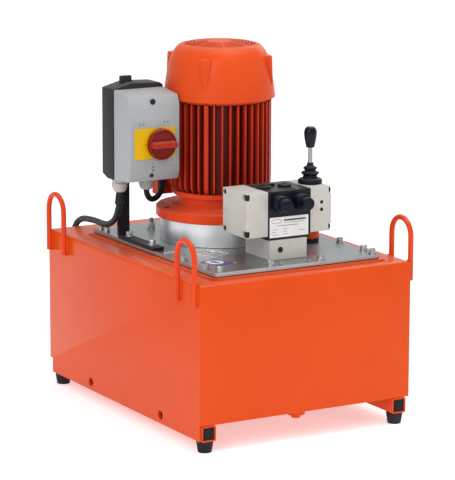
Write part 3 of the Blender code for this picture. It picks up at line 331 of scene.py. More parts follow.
def loops(rows, ring=False):
    """Skin a stack of closed loops; the ends are capped, or joined to each other if ring."""
    count = len(rows[0])
    points = [Vector(p) for row in rows for p in row]
    faces = []
    pairs = list(zip(range(len(rows)), range(1, len(rows))))
    if ring:
        pairs.append((len(rows) - 1, 0))
    for a, b in pairs:
        for i in range(count):
            j = (i + 1) % count
            faces.append((a * count + i, a * count + j, b * count + j, b * count + i))
    if not ring:
        faces.append(tuple(reversed(range(count))))
        faces.append(tuple(range((len(rows) - 1) * count, len(rows) * count)))
    return points, faces


def circle(radius, z, steps, wave=None):
    """A level loop; wave(angle) scales the radius round it."""
    found = []
    for i in range(steps):
        a = 2 * math.pi * i / steps
        reach = radius * (wave(a) if wave else 1)
        found.append((reach * math.cos(a), reach * math.sin(a), z))
    return found


def lathe(profile, steps=48, ring=False, wave=None):
    return loops([circle(r, z, steps, wave) for r, z in profile], ring)


def polygon(sides, flats, z, steps=None):
    """A regular polygon loop, sampled at steps points if given."""
    steps = steps or sides
    sector = 2 * math.pi / sides
    found = []
    for i in range(steps):
        a = 2 * math.pi * i / steps
        reach = flats / 2 / math.cos((a + sector / 2) % sector - sector / 2)
        found.append((reach * math.cos(a), reach * math.sin(a), z))
    return found


def prism(outline, low, high, edge=0.0):
    """An upright prism on a flat outline, with its two rims drawn in by edge."""
    middle = Vector((sum(p[0] for p in outline), sum(p[1] for p in outline), 0)) / len(outline)
    def row(z, inset):
        placed = []
        for x, y in outline:
            away = Vector((x, y, 0)) - middle
            away *= 1 - inset / max(away.length, 1e-6)
            placed.append((middle.x + away.x, middle.y + away.y, z))
        return placed
    if edge:
        return loops([row(low, edge), row(low + edge, 0), row(high - edge, 0), row(high, edge)])
    return loops([row(low, 0), row(high, 0)])


def rounded(x0, x1, y0, y1, radius, steps=5):
    """Outline of a rounded rectangle."""
    outline = []
    for cx, cy, start in ((x1 - radius, y1 - radius, 0), (x0 + radius, y1 - radius, 90),
                          (x0 + radius, y0 + radius, 180), (x1 - radius, y0 + radius, 270)):
        for i in range(steps + 1):
            a = math.radians(start + 90 * i / steps)
            outline.append((cx + radius * math.cos(a), cy + radius * math.sin(a)))
    return outline


def hex_head(flats, height):
    chamfer = height * 0.16
    rows = ((flats, 0), (flats, height - chamfer), (flats * 0.88, height))
    return loops([polygon(6, wide, z) for wide, z in rows])


def washer(radius, height):
    return lathe([(radius, 0), (radius, height * 0.75), (radius * 0.97, height)], 28)


def socket_head(radius, height, key, depth):
    """A cylinder head with a hexagon socket in its top."""
    edge = radius * 0.1
    rows = [circle(radius, 0, 24), circle(radius, height - edge, 24), circle(radius - edge, height, 24),
            polygon(6, key, height, 24), polygon(6, key, height - depth, 24)]
    return loops(rows)


def cross_head(radius, height):
    """A low round domed screw head."""
    rows = [circle(radius, 0, 24), circle(radius, height * 0.4, 24), circle(radius * 0.8, height * 0.85, 24),
            circle(radius * 0.4, height, 24)]
    return loops(rows)


def tube(path, radius, sides=10):
    """A round bar along the path; radius is a number or a function of the share of the way along."""
    path = [Vector(p) for p in path]
    last = len(path) - 1
    tangents = [(path[min(i + 1, last)] - path[max(i - 1, 0)]).normalized() for i in range(last + 1)]
    angles = [2 * math.pi * k / sides for k in range(sides)]
    side = tangents[0].orthogonal().normalized()
    rows = []
    for i, (point, along) in enumerate(zip(path, tangents)):
        side = (side - along * side.dot(along)).normalized()
        other = along.cross(side)
        r = radius(i / last) if callable(radius) else radius
        rows.append([point + (side * math.cos(a) + other * math.sin(a)) * r for a in angles])
    return loops(rows)


def moved(shape, centre=(0, 0, 0), axis=(0, 0, 1), spin=0.0):
    """The shape with its +Z turned to axis and its origin put at centre."""
    axis = Vector(axis).normalized()
    if axis.z < -0.999:
        turn = Matrix.Rotation(math.pi, 3, "X")
    else:
        turn = Vector((0, 0, 1)).rotation_difference(axis).to_matrix()
    turn = turn @ Matrix.Rotation(spin, 3, "Z")
    return [turn @ Vector(p) + Vector(centre) for p in shape[0]], shape[1]


def mm(rows):
    """Rows of millimetres as rows of metres."""
    return [tuple(value * MM for value in row) for row in rows]


def around(degrees):
    """Unit vectors outwards and sideways at an angle round +Z."""
    a = math.radians(degrees)
    return Vector((math.cos(a), math.sin(a), 0)), Vector((-math.sin(a), math.cos(a), 0))


def middle_of(node):
    """The middle of a node's box."""
    low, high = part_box(node)
    return (low + high) / 2


def weld_bead(start, end, radius, pitch=0.004):
    """A rippled bead of weld from start to end."""
    start, end = Vector(start), Vector(end)
    length = (end - start).length
    count = max(8, int(length / pitch * 4))
    path = [start.lerp(end, i / count) for i in range(count + 1)]
    ripples = length / pitch
    def swell(t):
        taper = min(1.0, 6 * t + 0.3, 6 * (1 - t) + 0.3)
        return radius * taper * (0.9 + 0.14 * abs(math.sin(math.pi * ripples * t)))
    return tube(path, swell, 8)


# ---- pieces -------------------------------------------------------------------------------------

def smoothing(angle):
    """A modifier that joins a mesh's loose triangles and smooths it up to an angle."""
    tree = bpy.data.node_groups.new(f"join_and_smooth_{angle}", "GeometryNodeTree")
    tree.interface.new_socket(name="Geometry", in_out="INPUT", socket_type="NodeSocketGeometry")
    tree.interface.new_socket(name="Geometry", in_out="OUTPUT", socket_type="NodeSocketGeometry")
    entry, leave = tree.nodes.new("NodeGroupInput"), tree.nodes.new("NodeGroupOutput")
    join = tree.nodes.new("GeometryNodeMergeByDistance")
    join.inputs["Distance"].default_value = 0.01 * MM
    strip = tree.nodes.new("GeometryNodeRemoveAttribute")
    strip.inputs["Name"].default_value = "custom_normal"
    faces = tree.nodes.new("GeometryNodeSetShadeSmooth")
    faces.domain = "FACE"
    edges = tree.nodes.new("GeometryNodeSetShadeSmooth")
    edges.domain = "EDGE"
    fold = tree.nodes.new("GeometryNodeInputMeshEdgeAngle")
    soft = tree.nodes.new("FunctionNodeCompare")
    soft.operation = "LESS_EQUAL"
    soft.inputs["B"].default_value = math.radians(angle)
    chain = [entry.outputs[0], join, strip, faces, edges]
    source = chain[0]
    for step in chain[1:]:
        tree.links.new(source, step.inputs["Geometry"])
        source = step.outputs["Geometry"]
    tree.links.new(source, leave.inputs[0])
    tree.links.new(fold.outputs["Unsigned Angle"], soft.inputs["A"])
    tree.links.new(soft.outputs["Result"], edges.inputs["Shade Smooth"])
    return tree


def piece(name, shapes, look, body="unit", smooth=35.0):
    """One object from the shapes, riding on a body."""
    points, faces = [], []
    for shape in shapes:
        faces += [tuple(i + len(points) for i in face) for face in shape[1]]
        points += [tuple(p) for p in shape[0]]
    mesh = bpy.data.meshes.new(name)
    mesh.from_pydata(points, [], faces)
    work = bmesh.new()
    work.from_mesh(mesh)
    bmesh.ops.recalc_face_normals(work, faces=work.faces)
    work.to_mesh(mesh)
    work.free()
    for face in mesh.polygons:
        face.use_smooth = True
    mesh.set_sharp_from_angle(angle=math.radians(smooth))
    made = bpy.data.objects.new(name, mesh)
    bpy.context.scene.collection.objects.link(made)
    mesh.materials.append(LOOKS[look])
    if body:
        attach(made, body)
    return made


def curve(name, points, radius, look):
    """A round cord as a curve of one open spline."""
    data = bpy.data.curves.new(name, "CURVE")
    data.dimensions, data.bevel_depth, data.bevel_resolution = "3D", radius, 5
    data.use_fill_caps = True
    spline = data.splines.new("POLY")
    spline.points.add(len(points) - 1)
    for target, source in zip(spline.points, points):
        target.co = (*source, 1.0)
    spline.use_smooth = True
    made = bpy.data.objects.new(name, data)
    bpy.context.scene.collection.objects.link(made)
    data.materials.append(LOOKS[look])
    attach(made, "unit")
    return made


def span(path):
    return sum((Vector(b) - Vector(a)).length for a, b in zip(path, path[1:]))


# ---- camera, floor and light --------------------------------------------------------------------

def camera():
    data = bpy.data.cameras.new("camera")
    data.sensor_width, data.lens = 36.0, 203.19
    data.clip_end = 60.0
    yaw, pitch, roll = math.radians(29.92), math.radians(11.438), math.radians(0.174)
    back = Vector((-math.sin(yaw) * math.cos(pitch), -math.cos(yaw) * math.cos(pitch), math.sin(pitch)))
    level = Vector((math.cos(yaw), -math.sin(yaw), 0.0))
    upright = back.cross(level)
    right = level * math.cos(roll) + upright * math.sin(roll)
    up = upright * math.cos(roll) - level * math.sin(roll)
    made = bpy.data.objects.new("camera", data)
    turn = Matrix((right, up, back)).transposed().to_4x4()
    made.matrix_world = Matrix.Translation((-2.9223, -5.0899, 1.5559)) @ turn
    bpy.context.scene.collection.objects.link(made)
    bpy.context.scene.camera = made


def area_light(name, place, aim, size, power):
    data = bpy.data.lights.new(name, "AREA")
    data.shape, data.size, data.size_y = "RECTANGLE", size[0], size[1]
    data.energy = power
    made = bpy.data.objects.new(name, data)
    made.location = place
    made.rotation_mode = "QUATERNION"
    made.rotation_quaternion = (Vector(aim) - Vector(place)).to_track_quat("-Z", "Y")
    bpy.context.scene.collection.objects.link(made)


def studio():
    world = bpy.data.worlds.new("studio")
    world.use_nodes = True
    world.node_tree.nodes["Background"].inputs["Color"].default_value = (0.97, 0.98, 1.0, 1.0)
    world.node_tree.nodes["Background"].inputs["Strength"].default_value = 0.66
    bpy.context.scene.world = world
    area_light("key", (-3.0, -2.2, 2.6), (0, 0, 0.35), (2.4, 2.0), 54.0)
    area_light("top", (0.4, -0.6, 3.4), (0, 0, 0.4), (2.0, 2.0), 46.0)
    area_light("rim", (2.6, 1.6, 2.2), (0, 0, 0.4), (1.6, 2.0), 14.0)
    area_light("fill", (0.9, -3.6, 1.3), (0, 0, 0.35), (2.4, 1.6), 4.0)
    floor = Look("pale_floor", (0.86, 0.86, 0.86), 0.8)
    floor.mottle(0.8, (0.85, 0.85, 0.85), (0.87, 0.87, 0.87))
    floor.grain(40.0, 0.04, 0.001)
    floor.shader.inputs["Emission Color"].default_value = (1.0, 1.0, 1.0, 1.0)
    floor.shader.inputs["Emission Strength"].default_value = 0.45
    size = 30.0
    mesh = bpy.data.meshes.new("floor")
    corners = [(-size, -size, 0), (size, -size, 0), (size, size, 0), (-size, size, 0)]
    mesh.from_pydata(corners, [], [(0, 1, 2, 3)])
    mesh.materials.append(floor.done())
    made = bpy.data.objects.new("floor", mesh)
    bpy.context.scene.collection.objects.link(made)
    bpy.context.scene.view_settings.view_transform = "Standard"
    bpy.context.scene.view_settings.look = "None"


camera()
studio()


# ---- cords --------------------------------------------------------------------------------------

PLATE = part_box("cover_plate")
PLATE_TOP = PLATE[1].z


def above(z):
    """A height counted from the cover plate's top."""
    return PLATE_TOP + z


def smooth_route(stops, step):
    """Evenly spaced points on one smooth curve through the stops."""
    stops = [Vector(s) for s in stops]
    padded = [stops[0] * 2 - stops[1], *stops, stops[-1] * 2 - stops[-2]]
    fine = []
    for a, b, c, d in zip(padded, padded[1:], padded[2:], padded[3:]):
        for i in range(24):
            t = i / 24
            fine.append(0.5 * (2 * b + (c - a) * t + (2 * a - 5 * b + 4 * c - d) * t * t
                               + (3 * b - a - 3 * c + d) * t ** 3))
    fine.append(stops[-1])
    total = span(fine)
    count = max(2, round(total / step))
    points, walked, target = [fine[0]], 0.0, total / count
    for p, q in zip(fine, fine[1:]):
        length = (q - p).length
        while walked + length >= target and len(points) < count:
            points.append(p.lerp(q, (target - walked) / length))
            target += total / count
        walked += length
    points.append(fine[-1])
    return points


CORD_R, LEAD_R = 0.007, 0.0065
COIL = middle_of("supply_cable_coil")
COIL.z = 0
COIL_START = math.radians(118.5)
LAYER_1, LAYER_2 = CORD_R + 1.5 * MM, 3 * CORD_R + 1.9 * MM
COIL_TURNS = (COIL_START - math.pi / 2) / (2 * math.pi) + 7.0
GLAND_X, GLAND_Y = middle_of("supply_gland")[:2]
GLAND_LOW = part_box("supply_gland")[0].z


def coil_turn(turn):
    """(radius, height) of the cord's middle that many turns into the coil, wound clockwise."""
    inwards, climb = 4.0, 4.0 + 1 / 6
    outer, inner, last = 0.1128, 0.0568, 0.0993
    if turn <= inwards:
        return outer - 0.014 * turn, LAYER_1 - 0.0012 * (1 - min(1, turn * 4))
    if turn <= climb:
        share = (turn - inwards) / (climb - inwards)
        return inner, LAYER_1 + (LAYER_2 - LAYER_1) * (3 * share ** 2 - 2 * share ** 3)
    return inner + (last - inner) * (turn - climb) / (COIL_TURNS - climb), LAYER_2


def supply_route():
    """Out of the gland, across the plate, over the rear edge, down to the floor and round the coil."""
    floor = CORD_R + 0.6 * MM
    stops = [(GLAND_X, GLAND_Y, GLAND_LOW + 0.004), (GLAND_X, GLAND_Y, above(0.108)),
             (-0.228, 0.068, above(0.08)), (-0.2255, 0.09, above(0.05)), (-0.219, 0.13, above(0.031)),
             (-0.2105, 0.178, above(0.022)), (-0.2, 0.23, above(0.018)), (-0.192, 0.285, above(0.0125)),
             (-0.188, 0.325, above(0.006)), (-0.187, 0.355, above(-0.009)),
             (-0.187, 0.372, above(-0.036)), (-0.187, 0.3765, above(-0.08)), (-0.187, 0.3765, 0.22),
             (-0.1865, 0.377, 0.15), (-0.186, 0.383, 0.09), (-0.185, 0.404, 0.04), (-0.18, 0.437, 0.014),
             (-0.168, 0.476, floor), (-0.147, 0.518, floor), (-0.12, 0.55, floor), (-0.097, 0.568, floor),
             (-0.084, 0.5745, floor), (-0.0738, 0.5762, floor)]
    route = smooth_route(stops, 0.014)
    per_turn = 40
    count = int(COIL_TURNS * per_turn)
    for i in range(1, count + 1):
        turn = COIL_TURNS * i / count
        angle = COIL_START - 2 * math.pi * turn
        radius, height = coil_turn(turn)
        route.append(COIL + Vector((radius * math.cos(angle), radius * math.sin(angle), height)))
    tail = route[-1]
    rest = PLUG_END - tail
    for i in range(1, 6):
        share = i / 5
        ease = 3 * share ** 2 - 2 * share ** 3
        route.append(tail + Vector((rest.x * share, rest.y * ease, rest.z * ease)))
    return route


PLUG_LOW, PLUG_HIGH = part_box("supply_plug")
PLUG_MIDDLE = (PLUG_LOW + PLUG_HIGH) / 2
PLUG_END = Vector((PLUG_LOW.x + 0.004, PLUG_MIDDLE.y, PLUG_MIDDLE.z))


def plug():
    """An industrial plug: ribbed grip and clamp nut, red collar round five pins, a key on the collar."""
    start = Vector((PLUG_LOW.x, PLUG_MIDDLE.y, PLUG_MIDDLE.z))
    ribs = lambda a: 1 + 0.03 * math.cos(14 * a)
    nut = moved(lathe(mm([(7.8, 0), (10.5, 0.5), (12.8, 6), (15, 18), (15.5, 21)]), 56, wave=ribs),
                start, RIGHT)
    grip = moved(lathe(mm([(15.8, 21), (17.2, 24), (19, 34), (23.5, 42), (25.8, 48), (26.2, 62),
                           (26.2, 74), (25.5, 78)]), 56), start, RIGHT)
    handle = piece("plug_grip", [nut, grip], "black_plastic")
    collar = moved(lathe(mm([(20, 78), (26.8, 78), (28.4, 80), (28.4, 92), (26.2, 94), (25.6, 96),
                             (25.6, 131), (25, 132), (23.6, 131.5), (23.2, 130), (23.2, 94), (20, 94)]),
                         56, ring=True), start, RIGHT)
    ridge = moved(prism(rounded(-0.0035, 0.0035, -0.003, 0.0018, 0.0012, 3), 0.096, 0.131, 0.0006),
                  start + Vector((0, 0, 0.0256)), RIGHT)
    base = moved(lathe(mm([(22.8, 78.5), (22.8, 96), (22.2, 96.5)]), 40), start, RIGHT)
    shell = piece("supply_plug_body", [collar, base, ridge], "red")
    pins = []
    for k, angle in enumerate((90, 162, 234, 306, 18)):
        r = 0.003 if k else 0.0035
        a = math.radians(angle)
        pins.append(moved(lathe([(r, 0.096), (r, 0.123), (r * 0.7, 0.126)], 16),
                          start + Vector((0, 0.0145 * math.cos(a), 0.0145 * math.sin(a))), RIGHT))
    contacts = piece("plug_pins", pins, "brass")
    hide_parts("supply_plug")
    return [handle, shell, contacts]


def coil_tie(name, degrees, low_r, high_r):
    """A hook-and-loop strap round the bundle of turns."""
    centre_r = (low_r + high_r) / 2
    half = (high_r - low_r) / 2
    top = LAYER_2 + CORD_R + 1.2 * MM
    outline = rounded(-half, half, 0.3 * MM, top, 0.006, 5)
    inner = rounded(-half + 0.9 * MM, half - 0.9 * MM, 1.2 * MM, top - 0.9 * MM, 0.0052, 5)
    out, side = around(degrees)
    rows = []
    for line, shift in ((outline, -0.008), (outline, 0.008), (inner, 0.008), (inner, -0.008)):
        rows.append([COIL + out * (centre_r + p[0]) + side * shift + Vector((0, 0, p[1])) for p in line])
    return piece(name, [loops(rows, ring=True)], "strap", smooth=50)


def strap_look():
    look = Look("woven_strap", (0.03, 0.031, 0.035), 0.8)
    weave = look.maths("MULTIPLY", look.noise(900.0, 2.0, (1, 1, 0.3)), look.noise(1400.0, 2.0))
    look.mottle(120.0, (0.02, 0.021, 0.024), (0.05, 0.052, 0.058))
    look.bump(weave, 0.6, 0.0006)
    return look.done()


LOOKS["strap"] = strap_look()


def sleeve(name, top, bottom_z, wide, narrow):
    """A tapered rubber strain relief under a gland, grooved across so that it bends."""
    length = top.z - bottom_z
    profile = [(narrow - 0.0008, length), (narrow, length - 0.0006)]
    rings = 7
    for i in range(rings):
        near, far = i / rings, (i + 0.55) / rings
        for share, sink in ((near, 0), (far, 0), (far + 0.04, 0.0009), (near + 0.96 / rings, 0.0009)):
            z = length * (1 - share) - 0.0008
            profile.append((narrow + (wide - narrow) * share - sink, z))
    profile.append((wide, 0.0))
    shape = lathe([(r, length - z) for r, z in reversed(profile)], 28)
    return piece(name, [moved(shape, (top.x, top.y, bottom_z + length), (0, 0, -1))], "rubber")


def cords():
    route = supply_route()
    cord = curve("supply_cord", route, CORD_R, "cable")
    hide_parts("supply_cable", "supply_cable_coil")
    ties = [coil_tie("coil_tie_left", 205, 0.0505, 0.1105), coil_tie("coil_tie_right", -28, 0.05, 0.11)]
    relief = sleeve("supply_strain_relief", Vector((GLAND_X, GLAND_Y, GLAND_LOW + 0.001)), GLAND_LOW - 0.026,
                    0.0112, 0.0078)
    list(plug())

    x, y = middle_of("motor_gland")[:2]
    end_y = 0.1552
    stops = [(x, y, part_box("motor_gland")[0].z + 0.004), (x, y, above(0.12)),
             (x + 0.002, y + 0.001, above(0.104)), (-0.149, 0.07, above(0.0905)),
             (-0.131, 0.079, above(0.089)), (-0.115, 0.087, above(0.099)), (-0.108, 0.091, above(0.116)),
             (-0.1085, 0.095, above(0.134)), (-0.1105, 0.107, above(0.152)),
             (-0.1115, 0.122, above(0.169)), (-0.108, 0.14, above(0.183)),
             (-0.098, end_y - 0.003, above(0.188)), (-0.086, end_y, above(0.188)),
             (-0.077, end_y, above(0.188))]
    lead_route = smooth_route(stops, 0.006)
    lead = curve("motor_lead", lead_route, LEAD_R, "cable")
    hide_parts("motor_cable")


cords()


# ---- finishes on the CAD pieces -----------------------------------------------------------------

FINISH_OF = {
    "enamel": ["tank_shell", "rail_left", "rail_right", "drain_plug"],
    "bar_enamel": [f"lifting_bail_{corner}" for corner, _ in CORNERS],
    "fins": ["motor_frame"], "gasket": ["plate_gasket"],
    "casting": ["motor_flange", "motor_foot_pad", "rear_end_shield", "terminal_box", "terminal_box_lid"],
    "cover": ["fan_cover", "filler_cap"],
    "sheet": ["cover_plate"], "aluminium": ["bell_housing"],
    "rubber": ["supply_cable", "supply_cable_coil", "motor_cable",
               *[f"foot_{corner}" for corner, _ in CORNERS]],
    "boot": ["lever_boot"], "cap_rubber": ["dust_cap_left", "dust_cap_right"],
    "valve_grey": ["manifold_block", "valve_cap_left", "valve_cap_right"], "valve_black": ["valve_body"],
    "black_bar": ["switch_bracket"], "box_light": ["switch_box_cover"], "box_dark": ["switch_box_base"],
    "yellow": ["switch_plate"], "red": ["switch_knob", "coupling_spider", "supply_plug"],
    "gland": ["supply_gland", "motor_gland", "terminal_gland"], "gloss_black": ["lever_knob"],
    "chrome": ["lever_rod"], "black_plastic": ["filler_neck", "cooling_fan"],
    "steel": ["motor_shaft", "rotor_core", "drive_end_bearing", "fan_end_bearing", "pump_shaft",
              "valve_spool", "pressure_pipe", "return_pipe", "suction_strainer"],
    "iron": ["pump_body", "motor_coupling_half", "pump_coupling_half"], "copper": ["stator"],
}


def finish_cad_pieces():
    join = smoothing(35)
    for look, names in FINISH_OF.items():
        for name in names:
            for material_slot in NODES[name].material_slots:
                material_slot.material = LOOKS[look]
            NODES[name].modifiers.new("join_and_smooth", "NODES").node_group = join


finish_cad_pieces()


# ---- tank ---------------------------------------------------------------------------------------

def tank_details():
    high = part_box("tank_shell")[1]
    beads = []
    for corner, sign in CORNERS:
        bail_low, bail_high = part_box(f"lifting_bail_{corner}")
        bar = bail_high.x - bail_low.x
        x, foot = sign * (high.x + 0.0006), bail_low.z + 0.0005
        for y in (bail_low.y + bar / 2, bail_high.y - bar / 2):
            for edge in (y - 0.005, y + 0.005):
                beads.append(weld_bead((x, edge, foot + 0.0005), (x, edge, high.z - 0.004), 0.0027))
            beads.append(weld_bead((x, y - 0.005, foot), (x, y + 0.005, foot), 0.0026, 0.003))
    piece("bail_welds", beads, "enamel")

    seams = []
    for side, sign in SIDES:
        rail_low, rail_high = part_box(f"rail_{side}")
        x = (rail_low.x if sign > 0 else rail_high.x) - sign * 0.0004
        z = rail_high.z - 0.0006
        for k in range(6):
            y = rail_low.y + 0.05 + k * 0.115
            seams.append(weld_bead((x, y, z), (x, y + 0.035, z), 0.0022))
    piece("rail_welds", seams, "enamel")

    rim, rim_top = [], 0.3596
    x, front, rear = PLATE[1].x + 0.0092, PLATE[0].y - 0.0092, PLATE[1].y + 0.0037
    corners = [(-x, front), (x, front), (x, rear), (-x, rear)]
    for a, b in zip(corners, corners[1:] + corners[:1]):
        rim.append(weld_bead((*a, rim_top), (*b, rim_top), 0.0021, 0.005))
    piece("rim_weld", rim, "enamel")

    # painted shade: black plugs set 5 mm inside both ends of each rail stand in for the shade inside the
    # open tube mouths
    plugs = []
    for side in ("left", "right"):
        rail_low, rail_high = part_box(f"rail_{side}")
        x, z = (rail_low.x + rail_high.x) / 2, (rail_low.z + rail_high.z) / 2
        for y, out in ((rail_low.y, -1), (rail_high.y, 1)):
            flange = prism(rounded(-0.0137, 0.0137, -0.0135, 0.0135, 0.001, 4), -0.0002, 0.0022, 0.0007)
            dish = prism(rounded(-0.009, 0.009, -0.009, 0.009, 0.002, 3), 0.0022, 0.003, 0.0005)
            plugs += [moved(shape, (x, y - out * 0.005, z), (0, out, 0)) for shape in (flange, dish)]
    piece("rail_end_shade_plugs", plugs, "black_plastic")

    rings = []
    for corner, _ in CORNERS:
        x, y = middle_of(f"foot_{corner}")[:2]
        for z, r in ((0.0075, 0.01585), (0.0125, 0.01655), (0.0175, 0.0172)):
            profile = [(r - 0.002, 0), (r, 0), (r + 0.0004, 0.0006), (r, 0.0012), (r - 0.002, 0.0012)]
            rings.append(moved(lathe(profile, 32, ring=True), (x, y, z)))
    piece("foot_rings", rings, "rubber")


def hex_bolt(x, y, base, flats=0.0145, height=0.0075, spin=0.0, thread=0.0):
    """A hexagon bolt head on a washer and a spring washer; thread is how far a stud stands above it."""
    shapes = [moved(washer(flats * 0.66, 0.0018), (x, y, base)), moved(washer(flats * 0.52, 0.002),
                                                                       (x, y, base + 0.002)),
              moved(hex_head(flats, height), (x, y, base + 0.0041), spin=spin)]
    if thread:
        top = height + 0.0041
        rows = [(flats * (0.3 if i % 2 else 0.275), top + i * 0.0007) for i in range(int(thread / 0.0007))]
        stud = lathe([(flats * 0.28, 0.001), *rows, (flats * 0.22, top + thread)], 16)
        shapes.append(moved(stud, (x, y, base)))
    return shapes


def plate_details():
    bolts = []
    spots = mm([(-185, -301), (-61, -301), (62, -301), (193.5, -301), (-196, -262), (196, -262),
                (-196, -166), (196, -166), (196, -66), (196, 33), (196, 132), (186, 227), (62, 227),
                (-61, 227), (-196, 216), (-195, 190)])
    for x, y in spots:
        bolts += hex_bolt(x, y, PLATE_TOP, spin=random.uniform(0, 1))
    piece("plate_bolts", bolts, "zinc")

    bracket_low, bracket_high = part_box("switch_bracket")
    x = (bracket_low.x + bracket_high.x) / 2
    foot_top = above(0.3 * MM + 0.008)
    fixings = hex_bolt(x, bracket_low.y + 0.0285, foot_top, spin=0.3)
    fixings += hex_bolt(x + 0.002, 0.084, foot_top, spin=0.7)
    fixings += hex_bolt(-0.0935, 0.168, PLATE_TOP, 0.016, 0.011, 0.2, thread=0.011)
    piece("bracket_bolts", fixings, "zinc")

    small = [moved(cross_head(0.0042, 0.0024), (x, y, PLATE_TOP))
             for x, y in ((-0.111, -0.238), (0.11, -0.02), (-0.03, -0.292), (0.04, -0.292))]
    piece("plate_screws", small, "zinc")


def decals():
    """Plain stickers on the plate: a white panel with grey bars, a blue and white one, and an outline."""
    base = PLATE_TOP + 0.1 * MM

    def flat(name, centre, spin, look, shapes, lift=0.0):
        place, turn = (*centre, base + lift), math.radians(spin)
        piece(name, [moved(prism(shape, 0, 0.2 * MM), place, spin=turn) for shape in shapes], look)

    panel, turn = (-0.111, -0.128), 22
    flat("sticker_panel", panel, turn, "white_label", [rounded(-0.027, 0.027, -0.0335, 0.0335, 0.003)])
    rows = ((0.027, 0.023), (0.015, 0.02), (0.004, 0.01), (-0.007, 0.022), (-0.018, 0.016),
            (-0.027, 0.021))
    flat("sticker_bars", panel, turn, "ink", [rounded(-0.023, end, y - 0.0024, y + 0.0024, 0.0008, 3)
                                              for y, end in rows], 0.2 * MM)
    second, turn = (-0.148, -0.221), 18
    flat("sticker_two", second, turn, "blue", [rounded(-0.0235, 0.0235, -0.028, 0.028, 0.002)])
    ring = [(x, 0.004 + y) for x, y, _ in circle(0.0195, 0, 32)]
    flat("sticker_disc", second, turn, "white_label", [ring], 0.2 * MM)
    arrow = mm([(0, 18), (-10, 6), (-4, 6), (-4, -10), (4, -10), (4, 6), (10, 6)])
    flat("sticker_arrow", second, turn, "blue", [arrow], 0.4 * MM)
    outline = rounded(-0.1955, -0.17, -0.0065, 0.0065, 0.002, 3)
    line = [Vector((x, -0.0795 + y, base + 0.0002)) for x, y in outline]
    piece("plate_mark", [tube(line + [line[0]], 0.0004, 5)], "white_label")


tank_details()
plate_details()
decals()


# ---- motor --------------------------------------------------------------------------------------

AXIS = middle_of("motor_flange")


def fan_cover():
    """A pressed cover: flared skirt with a rolled lip, round shoulder, wedges, and a ringed air inlet."""
    middle = middle_of("fan_cover")
    middle.z = PLATE_TOP
    outer = mm([(120.8, 315.7), (122.2, 315.6), (122.4, 317.5), (121.4, 326), (119.2, 344), (116, 364),
                (113.6, 379), (110.8, 391), (108.1, 401), (104.8, 408.5), (101.2, 415), (97.2, 420.5),
                (93, 425.2), (88.8, 428.8), (85.5, 430.4)])
    lip = mm([(79, 431.8), (78, 430.8)])
    inner = [(r - 0.0022, z - 0.001) for r, z in reversed(outer[3:])]
    shapes = [moved(lathe(outer + lip + inner + [(0.1196, 0.317)], 96, ring=True), middle)]

    def dome(r):
        return 0.4304 + 0.0068 * (1 - (r / 0.089) ** 2)

    for r in (0.0745, 0.0675, 0.0605, 0.0535, 0.0465, 0.0395, 0.0325):
        z = dome(r)
        section = ((-0.0014, -0.0022), (0.0014, -0.0022), (0.0015, -0.0004), (0.0008, 0.0004),
                   (-0.0008, 0.0004), (-0.0015, -0.0004))
        ring = [(r + across, z + up) for across, up in section]
        shapes.append(moved(lathe(ring, 80, ring=True), middle))
    hub = [(0.027, dome(0.026) - 0.0022), (0.0278, dome(0.026) - 0.0004), (0.0268, dome(0.026) + 0.0004),
           (0.016, dome(0.016)), (0.008, dome(0.008)), (0.002, dome(0.0))]
    shapes.append(moved(lathe(hub, 64), middle))
    for k in range(8):
        out, side = around(22.5 + 45 * k)
        rows, wide, deep = [], side * 0.0022, Vector((0, 0, 0.003))
        for r in (0.0255, 0.038, 0.052, 0.066, 0.08):
            centre = middle + out * r + Vector((0, 0, dome(r)))
            rows.append([centre + wide - deep, centre + wide, centre - wide, centre - wide - deep])
        shapes.append(loops(rows))
    for k in range(4):
        out, side = around(45 + 90 * k)
        rows = []
        for z, far, near, half in ((0.409, 0.118, 0.0985, 0.0104), (0.4075, 0.1196, 0.0985, 0.011),
                                   (0.395, 0.1204, 0.105, 0.0108), (0.37, 0.1208, 0.112, 0.0074),
                                   (0.345, 0.1204, 0.117, 0.0034)):
            centre = middle + Vector((0, 0, z))
            back = (far - near) * 0.42
            outline = ((near, 1), (far - back, 1), (far - 0.0008, -0.2), (far, -0.4),
                       (far - back * 0.35, -1), (near, -1))
            rows.append([centre + out * reach + side * half * share for reach, share in outline])
        shapes.append(loops(rows))
    cover = piece("fan_cover_shell", shapes, "cover", smooth=32)
    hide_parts("fan_cover")


def motor_details():
    low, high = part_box("terminal_box_lid")
    screws = []
    for x in (low.x + 0.009, high.x - 0.009):
        for z in (low.z + 0.009, high.z - 0.009):
            screws.append(moved(socket_head(0.0042, 0.0032, 0.004, 0.0022), (x, high.y - 0.0006, z), BACK))
    piece("terminal_lid_screws", screws, "zinc")
    panel = moved(prism(rounded(-0.026, 0.026, -0.017, 0.017, 0.002, 4), 0, 0.8 * MM),
                  ((low.x + high.x) / 2, high.y + 0.0001, (low.z + high.z) / 2), BACK)
    piece("rating_plate", [panel], "steel")
    heads = []
    # black socket heads sunk in the flange's bolt holes: real screws, whose black also stands in for the
    # shade inside the holes
    for degrees in (80, 170, 260, 350):
        x, y = (AXIS + around(degrees)[0] * 0.1235)[:2]
        heads.append(moved(socket_head(0.0079, 0.008, 0.008, 0.004), (x, y, above(0.0655))))
    piece("flange_bolts_hole_shade", heads, "black_screw")


fan_cover()
motor_details()


# ---- switch box ---------------------------------------------------------------------------------

